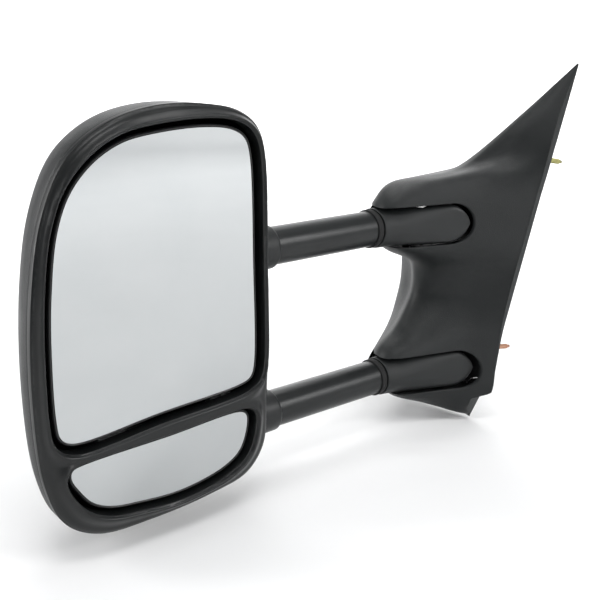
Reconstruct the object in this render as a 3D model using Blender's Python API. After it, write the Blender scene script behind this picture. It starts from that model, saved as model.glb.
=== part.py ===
"""Towing mirror for the driver's side of a pickup truck.

The frame: the origin lies on the face that bolts to the door, half way between the two
arms.  +X points inboard (into the door), +Y towards the front of the vehicle and +Z up.
The door face leans with the side of the cab, so its normal is turned by TUMBLEHOME.
The model shows the arms pulled out and unfolded.  All lengths are in metres.
"""
import math

import bmesh
import bpy
import numpy as np
from mathutils import Matrix, Vector

# ---- driving dimensions ---------------------------------------------------------------
GAP = 0.0004                    # air between neighbouring pieces that touch
TUMBLEHOME = math.radians(10)   # lean of the door face, top inboard
TUBE_R = 0.01905                # telescoping tube, 1.5 inch outside
TUBE_BORE = 0.0160
ARM_Z = (0.086, -0.086)         # heights of the upper and lower arm
NAMES = ("upper", "lower")
KNUCKLE_X = (-0.145, -0.134)    # outboard ends of the two knuckles
RING_LENGTH = 0.0080            # sleeves at the knuckles' outboard ends
TONGUE_X = (-0.050, -0.034)     # inboard round ends of the two tongues
TONGUE_R = 0.0215               # half height of a tongue
TONGUE_SLOPE = 0.35             # the tongues' rear faces come back this much per length
TONGUE_RISE = (0.0025, 0.0040)  # how far each tongue's end sits above its arm
PIVOT = (-0.095, -0.020)        # X and Y of the vertical fold axis
PIN_R = 0.0045
TUBE_OUT = -0.390               # outer ends of the tubes
COLLAR_END = -0.2835            # inboard ends of the head collars
SLEEVE_BORE = 0.0195            # bore of the pieces that slip over a tube
BEZEL_FRONT = -0.062            # Y of the bezel's ridge
BEZEL_BACK = -0.046
GLASS_FRONT = -0.053
GLASS_T = 0.0023
PIVOT_BALL_Y = -0.039
BALL_R = 0.008
SHELL_T = 0.003
COVER_T = 0.0026
EDGE_CREASE = 0.05              # how tightly the cover turns its rear edge
SKIN_STEPS = 2                  # steps of the cover's skin between its control points
GASKET_T = 0.003
WALL_GAP = 0.0065               # side clearance between a glass and the bezel opening

# Smooth outlines in the X-Z plane through these points, anticlockwise from the front.
HEAD_OUTLINE = (
    (-0.3255, 0.184), (-0.3335, 0.2095), (-0.3525, 0.2235), (-0.392, 0.231), (-0.434, 0.231),
    (-0.4765, 0.220), (-0.512, 0.195), (-0.534, 0.154), (-0.5465, 0.100), (-0.5535, 0.015),
    (-0.549, -0.068), (-0.5345, -0.105), (-0.5045, -0.1245), (-0.4535, -0.128),
    (-0.389, -0.124), (-0.351, -0.1160), (-0.331, -0.093), (-0.3265, -0.052),
    (-0.3255, 0.070))
MAIN_OUTLINE = (
    (-0.343, 0.188), (-0.348, 0.2005), (-0.361, 0.208), (-0.390, 0.2115), (-0.437, 0.209),
    (-0.4655, 0.2035), (-0.491, 0.1895), (-0.511, 0.168), (-0.5235, 0.139),
    (-0.5315, 0.094), (-0.5355, 0.045), (-0.536, -0.014), (-0.5335, -0.028),
    (-0.5235, -0.0345), (-0.440, -0.029), (-0.356, -0.0235), (-0.3455, -0.0195),
    (-0.3415, -0.009), (-0.3405, 0.087))
SPOTTER_OUTLINE = (
    (-0.3555, -0.0515), (-0.435, -0.0535), (-0.517, -0.0560), (-0.526, -0.0580),
    (-0.5275, -0.065), (-0.521, -0.078), (-0.510, -0.0925), (-0.493, -0.1015),
    (-0.466, -0.106), (-0.431, -0.109), (-0.402, -0.1065), (-0.376, -0.100),
    (-0.360, -0.090), (-0.352, -0.073), (-0.3505, -0.056))
# The spotter's opening comes close to the glass along the bar between the two glasses.
SPOTTER_OPENING = (
    (-0.352, -0.0475), (-0.435, -0.0495), (-0.517, -0.0520), (-0.529, -0.0545),
    (-0.5335, -0.064), (-0.527, -0.0815), (-0.5145, -0.0975), (-0.4955, -0.1075),
    (-0.4665, -0.1122), (-0.431, -0.1153), (-0.400, -0.1128), (-0.372, -0.106),
    (-0.354, -0.0935), (-0.3455, -0.0745), (-0.344, -0.054))
# Outline of the mount bracket in the door face's own frame: Y, height, corner radius.
BRACKET_OUTLINE = (
    (-0.0640, -0.0980, 0.006), (-0.0440, -0.1040, 0.006), (-0.0400, -0.1230, 0.006),
    (0.0480, -0.1020, 0.012), (0.0700, -0.0900, 0.015), (0.0780, -0.0200, 0.040),
    (0.0770, 0.0520, 0.020), (0.0100, 0.1150, 0.040), (-0.0640, 0.1800, 0.008),
    (-0.0940, 0.1800, 0.008), (-0.0700, -0.0300, 0.060))
BRACKET_T = 0.005
# Corner cut out of the cover's lower rear edge: Y, Z, corner radius.
NOTCH = (
    (-0.0900, -0.0980, 0.001), (-0.0900, -0.2000, 0.004), (-0.0460, -0.2000, 0.004),
    (-0.0525, -0.1440, 0.003), (-0.0620, -0.1180, 0.004), (-0.0750, -0.1120, 0.004))
STUDS = {"upper": (-0.0850, 0.1570), "lower": (-0.0600, -0.0630), "front": (0.0600, 0.0300)}
COVER_SCREWS = ((-0.0760, 0.1300), (0.0640, -0.0250), (0.0450, -0.0880))
BALL_AT = {"main": (-0.437, 0.092), "spotter": (-0.435, -0.079)}


def clean_scene():
    for obj in list(bpy.data.objects):
        bpy.data.objects.remove(obj, do_unlink=True)


def material(name, colour, roughness, metallic=0.0):
    mat = bpy.data.materials.new(name)
    mat.use_nodes = True
    shader = mat.node_tree.nodes["Principled BSDF"]
    shader.inputs["Base Color"].default_value = (*colour, 1.0)
    shader.inputs["Roughness"].default_value = roughness
    shader.inputs["Metallic"].default_value = metallic
    return mat


PLASTIC = ((0.016, 0.017, 0.018), 0.5)
STEEL = ((0.45, 0.46, 0.47), 0.35, 1.0)
CASTING = ((0.30, 0.31, 0.32), 0.55, 0.9)
RUBBER = ((0.012, 0.012, 0.012), 0.8)
MIRROR = ((0.85, 0.87, 0.88), 0.03, 1.0)
ZINC = ((0.62, 0.55, 0.20), 0.35, 1.0)
COPPER = ((0.72, 0.38, 0.22), 0.35, 1.0)


# ---- meshes ---------------------------------------------------------------------------
def new_object(name, bm, look, smooth_angle=40):
    bmesh.ops.recalc_face_normals(bm, faces=bm.faces)
    mesh = bpy.data.meshes.new(name)
    bm.to_mesh(mesh)
    bm.free()
    mesh.shade_smooth()
    mesh.set_sharp_from_angle(angle=math.radians(smooth_angle))
    obj = bpy.data.objects.new(name, mesh)
    bpy.context.scene.collection.objects.link(obj)
    obj.data.materials.append(material(name, *look))
    return obj


def rounded_loop(corners, steps):
    """Points of a closed outline whose corners are rounded by arcs."""
    points = []
    count = len(corners)
    for i, (x, z, radius) in enumerate(corners):
        here = Vector((x, z))
        before = (Vector(corners[i - 1][:2]) - here).normalized()
        after = (Vector(corners[(i + 1) % count][:2]) - here).normalized()
        half = before.angle(after) / 2
        centre = here + (before + after).normalized() * radius / math.sin(half)
        reach = radius / math.tan(half)
        start = here + before * reach - centre
        turn = math.pi - 2 * half
        side = 1 if before.x * after.y - before.y * after.x < 0 else -1
        for k in range(steps + 1):
            angle = side * turn * k / steps
            c, s = math.cos(angle), math.sin(angle)
            points.append((centre.x + c * start.x - s * start.y,
                           centre.y + s * start.x + c * start.y))
    return points


def smooth_loop(points, steps):
    """Closed centripetal spline through the points, with the given steps per span."""
    pts = np.array(points)
    count = len(pts)
    loop = []
    for i in range(count):
        p = [pts[(i + k) % count] for k in (-1, 0, 1, 2)]
        t = np.cumsum([0] + [np.linalg.norm(p[k + 1] - p[k]) ** 0.5 for k in range(3)])
        for k in range(steps):
            at = t[1] + (t[2] - t[1]) * k / steps
            level = [((t[j + 1] - at) * p[j] + (at - t[j]) * p[j + 1]) / (t[j + 1] - t[j])
                     for j in range(3)]
            level = [((t[j + 2] - at) * level[j] + (at - t[j]) * level[j + 1])
                     / (t[j + 2] - t[j]) for j in range(2)]
            x, z = ((t[2] - at) * level[0] + (at - t[1]) * level[1]) / (t[2] - t[1])
            loop.append((float(x), float(z)))
    return loop


def offset_loop(points, distance):
    """The outline moved outwards by distance; the points run anticlockwise."""
    moved = []
    count = len(points)
    for i, (x, z) in enumerate(points):
        before = Vector(points[i - 1])
        after = Vector(points[(i + 1) % count])
        along = (after - before).normalized()
        moved.append((x + along.y * distance, z - along.x * distance))
    return moved


def ring_xz(points, y):
    return [Vector((x, y, z)) for x, z in points]


def circle_x(radius, x, y, z, count):
    """A ring of points round an axis along X."""
    return [Vector((x, y + radius * math.cos(a), z + radius * math.sin(a)))
            for a in (2 * math.pi * k / count for k in range(count))]


def circle_z(radius, x, y, z, count):
    return [Vector((x + radius * math.cos(a), y + radius * math.sin(a), z))
            for a in (2 * math.pi * k / count for k in range(count))]


def loft(bm, rings, closed=False):
    """Skin between equal rings of points: capped at both ends, or closed like a torus."""
    loops = [[bm.verts.new(p) for p in ring] for ring in rings]
    pairs = list(zip(loops, loops[1:]))
    if closed:
        pairs.append((loops[-1], loops[0]))
    for a, b in pairs:
        count = len(a)
        for i in range(count):
            j = (i + 1) % count
            bm.faces.new((a[i], a[j], b[j], b[i]))
    if not closed:
        bm.faces.new(loops[0][::-1])
        bm.faces.new(loops[-1])


def prism_xz(bm, points, y0, y1):
    loft(bm, [ring_xz(points, y0), ring_xz(points, y1)])


def profile_rings(profile, centre, axis, count):
    """Rings of a turned piece from (position along the axis, radius) pairs."""
    x, y, z = centre
    if axis == "x":
        return [circle_x(radius, along, y, z, count) for along, radius in profile]
    return [circle_z(radius, x, y, along, count) for along, radius in profile]


def turned(bm, profile, centre, axis="x", count=32):
    """A turned solid with a bore, round a closed profile."""
    loft(bm, profile_rings(profile, centre, axis, count), closed=True)


def rod(bm, profile, centre, axis="x", count=24):
    """A turned solid without a bore."""
    loft(bm, profile_rings(profile, centre, axis, count))


def disc_y(bm, x, z, radius, y0, y1, count=24):
    """A cylinder along Y."""
    loft(bm, [[Vector((x + radius * math.cos(a), y, z + radius * math.sin(a)))
               for a in (2 * math.pi * k / count for k in range(count))] for y in (y0, y1)])


def cutter(name, bm):
    bmesh.ops.recalc_face_normals(bm, faces=bm.faces)
    mesh = bpy.data.meshes.new(name)
    bm.to_mesh(mesh)
    bm.free()
    obj = bpy.data.objects.new(name, mesh)
    bpy.context.scene.collection.objects.link(obj)
    obj.hide_render = True
    obj.display_type = "WIRE"
    return obj


def boolean(obj, tool, operation="DIFFERENCE"):
    mod = obj.modifiers.new(tool.name, "BOOLEAN")
    mod.operation = operation
    mod.object = tool
    mod.solver = "EXACT"


# ---- mirror head ----------------------------------------------------------------------
def rounded_edge(outline, outward, radius, steps):
    """Rings from a wall's foot at the bezel's back over a rounded edge to its front face.

    outward is -1 for the outer wall, whose edge rounds inwards, and +1 for an opening.
    """
    rings = [ring_xz(outline, BEZEL_BACK)]
    for k in range(steps + 1):
        a = math.pi / 2 * k / steps
        moved = offset_loop(outline, outward * radius * (1 - math.cos(a)))
        rings.append(ring_xz(moved, BEZEL_FRONT + radius * (1 - math.sin(a))))
    return rings


def head_bezel():
    """Front frame: an outer wall and two openings, joined by flat faces in between."""
    openings = (offset_loop(smooth_loop(MAIN_OUTLINE, 3), WALL_GAP),
                smooth_loop(SPOTTER_OPENING, 3))
    walls = [rounded_edge(smooth_loop(HEAD_OUTLINE, 3), -1, 0.0040, 3)]
    for opening in openings:
        walls.append(rounded_edge(opening, 1, 0.0034, 3))
    bm = bmesh.new()
    front, back = [], []
    for rings in walls:
        loops = [[bm.verts.new(p) for p in ring] for ring in rings]
        count = len(loops[0])
        for lower, upper in zip(loops, loops[1:]):
            for i in range(count):
                j = (i + 1) % count
                bm.faces.new((lower[i], lower[j], upper[j], upper[i]))
        for group, loop in ((back, loops[0]), (front, loops[-1])):
            for i in range(count):
                group.append(bm.edges.get((loop[i], loop[(i + 1) % count])))
    for group in (front, back):
        bmesh.ops.triangle_fill(bm, edges=group, use_beauty=True, use_dissolve=False)
    return new_object("head_bezel", bm, PLASTIC)


def shell_ring(outline, y, scale_x, scale_z, inset):
    cx, cz = SHELL_CENTRE
    points = []
    for x, z in offset_loop(outline, -inset):
        points.append(Vector((cx + (x - cx) * scale_x, y, cz + (z - cz) * scale_z)))
    return points


# The dome: Y, then the width and height of the outline there against the rim.
SHELL_CENTRE = (-0.365, 0.050)
DOME_DEPTH = 0.103
SHELL_PROFILE = (
    (BEZEL_BACK + GAP, 1.0, 1.0), (-0.032, 0.998, 1.0), (-0.015, 0.970, 0.997),
    (0.005, 0.910, 0.982), (0.024, 0.815, 0.937), (0.040, 0.680, 0.840),
    (0.050, 0.520, 0.700), (0.0555, 0.330, 0.470), (0.0575, 0.120, 0.170))


def head_rear_shell():
    outline = smooth_loop(HEAD_OUTLINE, 3)
    outer = [shell_ring(outline, y, sx, sz, 0.0) for y, sx, sz in SHELL_PROFILE]
    inner = []
    for i, (y, sx, sz) in enumerate(SHELL_PROFILE):
        depth = y if i == 0 else y - SHELL_T * (y - BEZEL_BACK) / DOME_DEPTH
        inner.append(shell_ring(outline, depth, sx, sz, SHELL_T))
    bm = bmesh.new()
    loft(bm, inner[::-1] + outer)
    obj = new_object("head_rear_shell", bm, PLASTIC)
    for name, z in zip(NAMES, ARM_Z):
        bm = bmesh.new()
        rod(bm, ((-0.3522, 0.0224), (-0.300, 0.0224)), (0, 0, z))
        boolean(obj, cutter("cut_shell_" + name, bm))
    return obj


CARRIER_SCREWS = ((-0.480, 0.120), (-0.362, 0.120), (-0.480, -0.040), (-0.362, -0.040))
CARRIER_Y = (-0.029, -0.0215)   # rear and front faces of the carrier's plate
SEAT_R = 0.012                  # bosses that hold the pivot balls
BORE_R = 0.0206                 # bore of the barrels that the arms slide in


def head_carrier():
    """Cast plate with two barrels for the arms and two seats for the pivot balls."""
    plate = rounded_loop(((-0.352, 0.130, 0.010), (-0.490, 0.130, 0.010),
                          (-0.490, -0.104, 0.010), (-0.352, -0.104, 0.010)), 3)
    bm = bmesh.new()
    prism_xz(bm, plate, *CARRIER_Y)
    obj = new_object("head_carrier", bm, CASTING)
    for name, z in zip(NAMES, ARM_Z):
        bm = bmesh.new()
        rod(bm, ((-0.400, 0.0225), (-0.3525, 0.0225)), (0, 0, z), count=32)
        boolean(obj, cutter("add_barrel_" + name, bm), "UNION")
    for name, (x, z) in BALL_AT.items():
        bm = bmesh.new()
        disc_y(bm, x, z, SEAT_R, -0.035, -0.027)
        boolean(obj, cutter("add_seat_" + name, bm), "UNION")
    for name, z in zip(NAMES, ARM_Z):
        bm = bmesh.new()
        rod(bm, ((-0.410, BORE_R), (-0.330, BORE_R)), (0, 0, z), count=32)
        boolean(obj, cutter("cut_barrel_" + name, bm))
        bm = bmesh.new()
        rod(bm, ((-0.520, BORE_R), (-0.405, BORE_R)), (0, 0, z), count=32)
        boolean(obj, cutter("cut_run_" + name, bm))
    for name, (x, z) in BALL_AT.items():
        bm = bmesh.new()
        bmesh.ops.create_uvsphere(bm, u_segments=20, v_segments=12, radius=BALL_R + GAP,
                                  matrix=Matrix.Translation((x, PIVOT_BALL_Y, z)))
        boolean(obj, cutter("cut_seat_" + name, bm))
    window = rounded_loop(((-0.375, 0.045, 0.008), (-0.467, 0.045, 0.008),
                           (-0.467, -0.050, 0.008), (-0.375, -0.050, 0.008)), 3)
    bm = bmesh.new()
    prism_xz(bm, window, -0.040, -0.010)
    boolean(obj, cutter("cut_window", bm))
    for k, (x, z) in enumerate(CARRIER_SCREWS):
        bm = bmesh.new()
        disc_y(bm, x, z, 0.0026, -0.041, -0.011, 16)
        boolean(obj, cutter("cut_screw_%d" % k, bm))
    return obj


def carrier_screws():
    head_y = CARRIER_Y[0] - GAP
    for k, (x, z) in enumerate(CARRIER_SCREWS):
        rings = []
        for y, radius in ((head_y - 0.0026, 0.0030), (head_y, 0.0042), (head_y, 0.0021),
                          (-0.0150, 0.0021)):
            rings.append([Vector((x + radius * math.cos(a), y, z + radius * math.sin(a)))
                          for a in (2 * math.pi * j / 12 for j in range(12))])
        bm = bmesh.new()
        loft(bm, rings)
        new_object("carrier_screw_%d" % (k + 1), bm, STEEL)


def slide_bushings():
    for name, z in zip(NAMES, ARM_Z):
        for side, x in (("outer", -0.388), ("inner", -0.365)):
            bm = bmesh.new()
            turned(bm, ((x, 0.0202), (x + 0.012, 0.0202), (x + 0.012, 0.01945),
                        (x, 0.01945)), (0, 0, z), count=24)
            new_object(name + "_" + side + "_bushing", bm, ((0.75, 0.74, 0.70), 0.4))


def tension_pads():
    """Sprung friction pad on each tube, in the barrel between the two bushings."""
    for name, z in zip(NAMES, ARM_Z):
        inner, outer = [], []
        for k in range(7):
            a = math.radians(60 + 10 * k)
            inner.append((0.01945 * math.cos(a), 0.01945 * math.sin(a)))
            outer.append((0.0202 * math.cos(a), 0.0202 * math.sin(a)))
        section = inner + outer[::-1]
        bm = bmesh.new()
        loft(bm, [[Vector((x, y, z + h)) for y, h in section]
                  for x in (-0.3755, -0.3655)])
        new_object(name + "_tension_pad", bm, STEEL)


def collar(name, z):
    """Plastic sleeve that covers the gap between the head and the tube."""
    bm = bmesh.new()
    turned(bm, ((-0.3516, 0.0220), (-0.2950, 0.0220), (COLLAR_END - 0.0018, 0.0216),
                (COLLAR_END, 0.0204), (COLLAR_END, SLEEVE_BORE), (-0.3516, SLEEVE_BORE)),
           (0, 0, z))
    return new_object(name + "_collar", bm, PLASTIC)


def glass_set(name, points):
    """Glass, its holder and the ball that the holder swivels on."""
    x, z = BALL_AT[name]
    outline = smooth_loop(points, 3)
    back = GLASS_FRONT + GLASS_T
    bm = bmesh.new()
    prism_xz(bm, outline, GLASS_FRONT, back)
    new_object(name + "_glass", bm, MIRROR)

    edge = offset_loop(outline, 0.0024)
    pocket = offset_loop(outline, GAP)
    bm = bmesh.new()
    prism_xz(bm, edge, GLASS_FRONT - 0.0004, back + 0.0028)
    holder = new_object(name + "_glass_holder", bm, PLASTIC)
    bm = bmesh.new()
    prism_xz(bm, pocket, GLASS_FRONT - 0.01, back + GAP)
    boolean(holder, cutter("cut_pocket_" + name, bm))
    bm = bmesh.new()
    disc_y(bm, x, z, SEAT_R, -0.0489, -0.0421)
    boolean(holder, cutter("add_socket_" + name, bm), "UNION")
    bm = bmesh.new()
    bmesh.ops.create_uvsphere(bm, u_segments=20, v_segments=12, radius=BALL_R + GAP,
                              matrix=Matrix.Translation((x, PIVOT_BALL_Y, z)))
    boolean(holder, cutter("cut_socket_" + name, bm))

    bm = bmesh.new()
    bmesh.ops.create_uvsphere(bm, u_segments=20, v_segments=12, radius=BALL_R)
    ball = new_object(name + "_pivot_ball", bm, ((0.55, 0.55, 0.52), 0.4))
    ball.location = (x, PIVOT_BALL_Y, z)


# ---- arms -----------------------------------------------------------------------------
def tube(name, z, knuckle_x):
    inner_end = knuckle_x + 0.027
    bm = bmesh.new()
    turned(bm, ((TUBE_OUT, TUBE_R), (inner_end, TUBE_R), (inner_end, TUBE_BORE),
                (TUBE_OUT, TUBE_BORE)), (0, 0, z))
    return new_object(name + "_tube", bm, ((0.020, 0.021, 0.022), 0.42))


def tube_end_stop(name, z):
    """Plug in the tube's outer end whose flange cannot pass the bushing."""
    bm = bmesh.new()
    rod(bm, ((TUBE_OUT - 0.0025, 0.0185), (TUBE_OUT - 0.0015, 0.0201),
             (TUBE_OUT - GAP, 0.0201), (TUBE_OUT - GAP, TUBE_BORE - GAP),
             (TUBE_OUT + 0.012, TUBE_BORE - GAP)), (0, 0, z))
    return new_object(name + "_end_stop", bm, PLASTIC)


def tongue_section(x, i, count=24, swell=0.0):
    """Section of a knuckle at x: round at its outboard end, flat-faced along the tongue."""
    x0, x1, z0 = KNUCKLE_X[i], TONGUE_X[i], ARM_Z[i]
    along = (x - x0) / (x1 - x0)
    rear = -TONGUE_R - TONGUE_SLOPE * (x - x0)
    front = TONGUE_R * (1 - along) ** 0.5 - 0.030 * along
    centre_x = x1 - TONGUE_R
    half = TONGUE_R
    if x > centre_x:
        half = math.sqrt(max(TONGUE_R ** 2 - (x - centre_x) ** 2, 1e-8))
    power = 2.0 + 3.5 * min(1.0, along * 1.3)
    cy, depth = (rear + front) / 2, (front - rear) / 2
    cz = z0 + TONGUE_RISE[i] * along
    points = []
    for k in range(count):
        a = 2 * math.pi * (k + 0.5) / count
        c, s = math.cos(a), math.sin(a)
        ey = math.copysign(abs(c) ** (2 / power), c)
        ez = math.copysign(abs(s) ** (2 / power), s)
        points.append(Vector((x, cy + (depth + swell) * ey, cz + (half + swell) * ez)))
    return points


def tongue_stations(i, steps, tip_steps):
    x0, x1 = KNUCKLE_X[i], TONGUE_X[i]
    centre = x1 - TONGUE_R
    stations = [x0 + (centre - x0) * k / steps for k in range(steps)]
    for k in range(tip_steps):
        stations.append(centre + TONGUE_R * math.sin(math.pi / 2 * k / tip_steps))
    stations.append(x1 - 0.0004)
    return stations


def knuckle(i):
    name = NAMES[i]
    z = ARM_Z[i]
    px, py = PIVOT
    bm = bmesh.new()
    loft(bm, [tongue_section(x, i) for x in tongue_stations(i, 5, 4)])
    obj = new_object(name + "_knuckle", bm, PLASTIC)
    bm = bmesh.new()
    rod(bm, ((KNUCKLE_X[i] - 0.01, TUBE_R + GAP), (KNUCKLE_X[i] + 0.0276, TUBE_R + GAP)),
        (0, 0, z), count=32)
    boolean(obj, cutter("cut_socket_" + name, bm))
    bm = bmesh.new()
    rod(bm, ((z - 0.018 if i else z - 0.05, PIN_R + GAP), (z + 0.05, PIN_R + GAP)),
        (px, py, 0), axis="z")
    boolean(obj, cutter("cut_pin_" + name, bm))
    if i == 0:
        bm = bmesh.new()
        rod(bm, ((z - 0.004, 0.0108), (z + 0.05, 0.0108)), (px, py, 0), axis="z")
        boolean(obj, cutter("cut_spring_pocket", bm))
    return obj


def arm_ring(i):
    """Sleeve that seals the joint between tube and knuckle."""
    bm = bmesh.new()
    x = KNUCKLE_X[i]
    turned(bm, ((x - RING_LENGTH, 0.0199), (x - RING_LENGTH + 0.0006, 0.0206),
                (x - GAP, 0.0206), (x - GAP, SLEEVE_BORE), (x - RING_LENGTH, SLEEVE_BORE)),
           (0, 0, ARM_Z[i]))
    return new_object(NAMES[i] + "_arm_ring", bm, RUBBER)


# ---- fold pivot -----------------------------------------------------------------------
# Pivot ears on the bracket: bottom, top, and Y of the front corner of the root.
EARS = ((0.1100, 0.1160, -0.004), (0.0580, 0.0638, 0.034), (-0.0612, -0.0540, 0.034))
EAR_R = 0.0085


def pivot_pins():
    px, py = PIVOT
    for name, foot, ear_top in (("upper", 0.0590, EARS[0][1]), ("lower", -0.1030, EARS[2][1])):
        top = ear_top + GAP
        bm = bmesh.new()
        rod(bm, ((foot, PIN_R), (top, PIN_R), (top, 0.0056), (top + 0.0010, 0.0056),
                 (top + 0.0016, 0.0046)), (px, py, 0), axis="z")
        new_object(name + "_pivot_pin", bm, STEEL)


def fold_spring():
    """Compression spring round the upper pin, in the knuckle's pocket."""
    px, py = PIVOT
    turns, wire, coil_r = 4.5, 0.0011, 0.0083
    z0, z1 = 0.0835, 0.1040
    steps = int(turns * 16)
    rings = []
    for k in range(steps + 1):
        a = 2 * math.pi * turns * k / steps
        centre = Vector((px + coil_r * math.cos(a), py + coil_r * math.sin(a),
                         z0 + (z1 - z0) * k / steps))
        out = Vector((math.cos(a), math.sin(a), 0))
        up = Vector((0, 0, 1))
        rings.append([centre + wire * (math.cos(b) * out + math.sin(b) * up)
                      for b in (2 * math.pi * j / 6 for j in range(6))])
    bm = bmesh.new()
    loft(bm, rings)
    return new_object("fold_spring", bm, STEEL)


def detent_ring():
    """Washer that the fold spring presses against the upper ear."""
    px, py = PIVOT
    bm = bmesh.new()
    turned(bm, ((0.1056, 0.0102), (0.1094, 0.0102), (0.1094, 0.0052), (0.1056, 0.0052)),
           (px, py, 0), axis="z", count=24)
    return new_object("detent_ring", bm, STEEL)


# ---- base -----------------------------------------------------------------------------
def plane_x(z):
    """X of the door face at height z."""
    return z * math.tan(TUMBLEHOME)


def rim(y, z):
    return (plane_x(z) - GASKET_T - GAP, y, z)


def ridge(y, z, strip):
    return (plane_x(z) - GASKET_T - strip, y, z)


def cover_cage():
    """Control points of the cover's outer skin, by rows from the bottom to the tip.

    Each row runs from the rear rim over the rear edge, the rear face, the outboard nose
    and the front face to the front rim.
    """
    return (
        (rim(-0.0530, -0.1465), rim(-0.0520, -0.1465), rim(-0.044, -0.1450),
         rim(-0.028, -0.1405), rim(-0.005, -0.134), rim(0.018, -0.127),
         rim(0.040, -0.119), rim(0.058, -0.112)),
        (rim(-0.0600, -0.136), ridge(-0.0600, -0.136, 0.003), (-0.050, -0.048, -0.135),
         (-0.078, -0.018, -0.126), (-0.088, 0.002, -0.121), (-0.078, 0.020, -0.118),
         (-0.050, 0.045, -0.114), rim(0.064, -0.108)),
        (rim(-0.0770, -0.110), ridge(-0.0770, -0.110, 0.003), (-0.056, -0.052, -0.111),
         (-0.108, -0.024, -0.111), (-0.114, 0.001, -0.111), (-0.098, 0.022, -0.109),
         (-0.056, 0.052, -0.107), rim(0.073, -0.104)),
        (rim(-0.0770, -0.084), ridge(-0.0770, -0.084, 0.003), (-0.060, -0.050, -0.084),
         (-0.130, -0.023, -0.084), (-0.137, 0.001, -0.084), (-0.125, 0.025, -0.084),
         (-0.060, 0.058, -0.084), rim(0.079, -0.084)),
        (rim(-0.0772, -0.058), ridge(-0.0772, -0.058, 0.004), (-0.054, -0.051, -0.058),
         (-0.119, -0.023, -0.058), (-0.127, 0.001, -0.055), (-0.110, 0.023, -0.057),
         (-0.056, 0.060, -0.057), rim(0.083, -0.056)),
        (rim(-0.078, -0.036), ridge(-0.078, -0.036, 0.006), (-0.044, -0.055, -0.036),
         (-0.091, -0.023, -0.038), (-0.099, 0.003, -0.036), (-0.083, 0.025, -0.038),
         (-0.048, 0.060, -0.034), rim(0.085, -0.032)),
        (rim(-0.082, 0.000), ridge(-0.082, 0.000, 0.009), (-0.034, -0.052, 0.000),
         (-0.064, -0.017, 0.000), (-0.073, 0.005, 0.000), (-0.057, 0.027, 0.000),
         (-0.038, 0.060, 0.000), rim(0.086, 0.000)),
        (rim(-0.086, 0.036), ridge(-0.086, 0.036, 0.010), (-0.036, -0.055, 0.036),
         (-0.072, -0.024, 0.038), (-0.077, 0.004, 0.037), (-0.061, 0.026, 0.038),
         (-0.038, 0.060, 0.036), rim(0.086, 0.035)),
        (rim(-0.089, 0.061), ridge(-0.089, 0.061, 0.010), (-0.058, -0.053, 0.061),
         (-0.117, -0.025, 0.063), (-0.123, 0.001, 0.060), (-0.105, 0.023, 0.062),
         (-0.048, 0.060, 0.060), rim(0.084, 0.058)),
        (rim(-0.092, 0.088), ridge(-0.092, 0.088, 0.010), (-0.062, -0.052, 0.088),
         (-0.139, -0.022, 0.088), (-0.145, 0.001, 0.088), (-0.131, 0.025, 0.088),
         (-0.046, 0.054, 0.088), rim(0.070, 0.084)),
        (rim(-0.095, 0.113), ridge(-0.095, 0.113, 0.010), (-0.054, -0.056, 0.114),
         (-0.131, -0.024, 0.115), (-0.137, 0.001, 0.117), (-0.114, 0.022, 0.115),
         (-0.045, 0.042, 0.113), rim(0.044, 0.110)),
        (rim(-0.099, 0.141), ridge(-0.099, 0.141, 0.010), (-0.028, -0.062, 0.139),
         (-0.096, -0.029, 0.134), (-0.110, 0.000, 0.134), (-0.090, 0.016, 0.131),
         (-0.034, 0.024, 0.131), rim(0.020, 0.132)),
        (rim(-0.102, 0.166), ridge(-0.102, 0.166, 0.010), (0.002, -0.070, 0.161),
         (-0.018, -0.042, 0.150), (-0.030, -0.024, 0.145), (-0.024, -0.010, 0.143),
         (0.002, -0.008, 0.147), rim(-0.010, 0.152)),
        (rim(-0.107, 0.206), ridge(-0.107, 0.206, 0.010), (0.020, -0.092, 0.207),
         (0.018, -0.080, 0.206), (0.018, -0.070, 0.205), (0.020, -0.063, 0.204),
         (0.025, -0.060, 0.2035), rim(-0.0590, 0.2030)),
        (rim(-0.1128, 0.2550), rim(-0.1125, 0.2556), rim(-0.1120, 0.2560),
         rim(-0.1115, 0.2562), rim(-0.1110, 0.2562), rim(-0.1105, 0.2559),
         rim(-0.1100, 0.2554), rim(-0.1096, 0.2548)))


def spline_rows(rows, steps):
    """Cardinal spline through each column of the grid, with the given steps per span."""
    grid = np.array(rows, float)
    count = len(grid)
    slopes = np.empty_like(grid)
    slopes[1:-1] = 0.42 * (grid[2:] - grid[:-2])
    slopes[0] = grid[1] - grid[0]
    slopes[-1] = grid[-1] - grid[-2]
    result = []
    for i in range(count - 1):
        for k in range(steps):
            t = k / steps
            h00, h10 = 2 * t ** 3 - 3 * t ** 2 + 1, t ** 3 - 2 * t ** 2 + t
            h01, h11 = -2 * t ** 3 + 3 * t ** 2, t ** 3 - t ** 2
            result.append(h00 * grid[i] + h10 * slopes[i] + h01 * grid[i + 1]
                          + h11 * slopes[i + 1])
    result.append(grid[-1])
    return np.array(result)


def cover_skin(row_steps, column_steps):
    cage = np.array(cover_cage())
    share = np.full((len(cage), 1), EDGE_CREASE)
    share[[0, -1]] = 0.5
    crease = cage[:, 1] + share * (cage[:, 2] - cage[:, 1])
    grid = spline_rows(np.insert(cage, 2, crease, axis=1), row_steps)
    return spline_rows(grid.transpose(1, 0, 2), column_steps).transpose(1, 0, 2)


def skin_normals(skin):
    """Unit normals of the skin, pointing out of the cover."""
    along = np.gradient(skin, axis=1)
    up = np.gradient(skin, axis=0)
    normals = np.cross(up, along)
    normals /= np.linalg.norm(normals, axis=2)[..., None]
    middle = (skin.shape[0] // 2, skin.shape[1] // 2)
    if normals[middle][0] > 0:
        normals = -normals
    return normals


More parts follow.
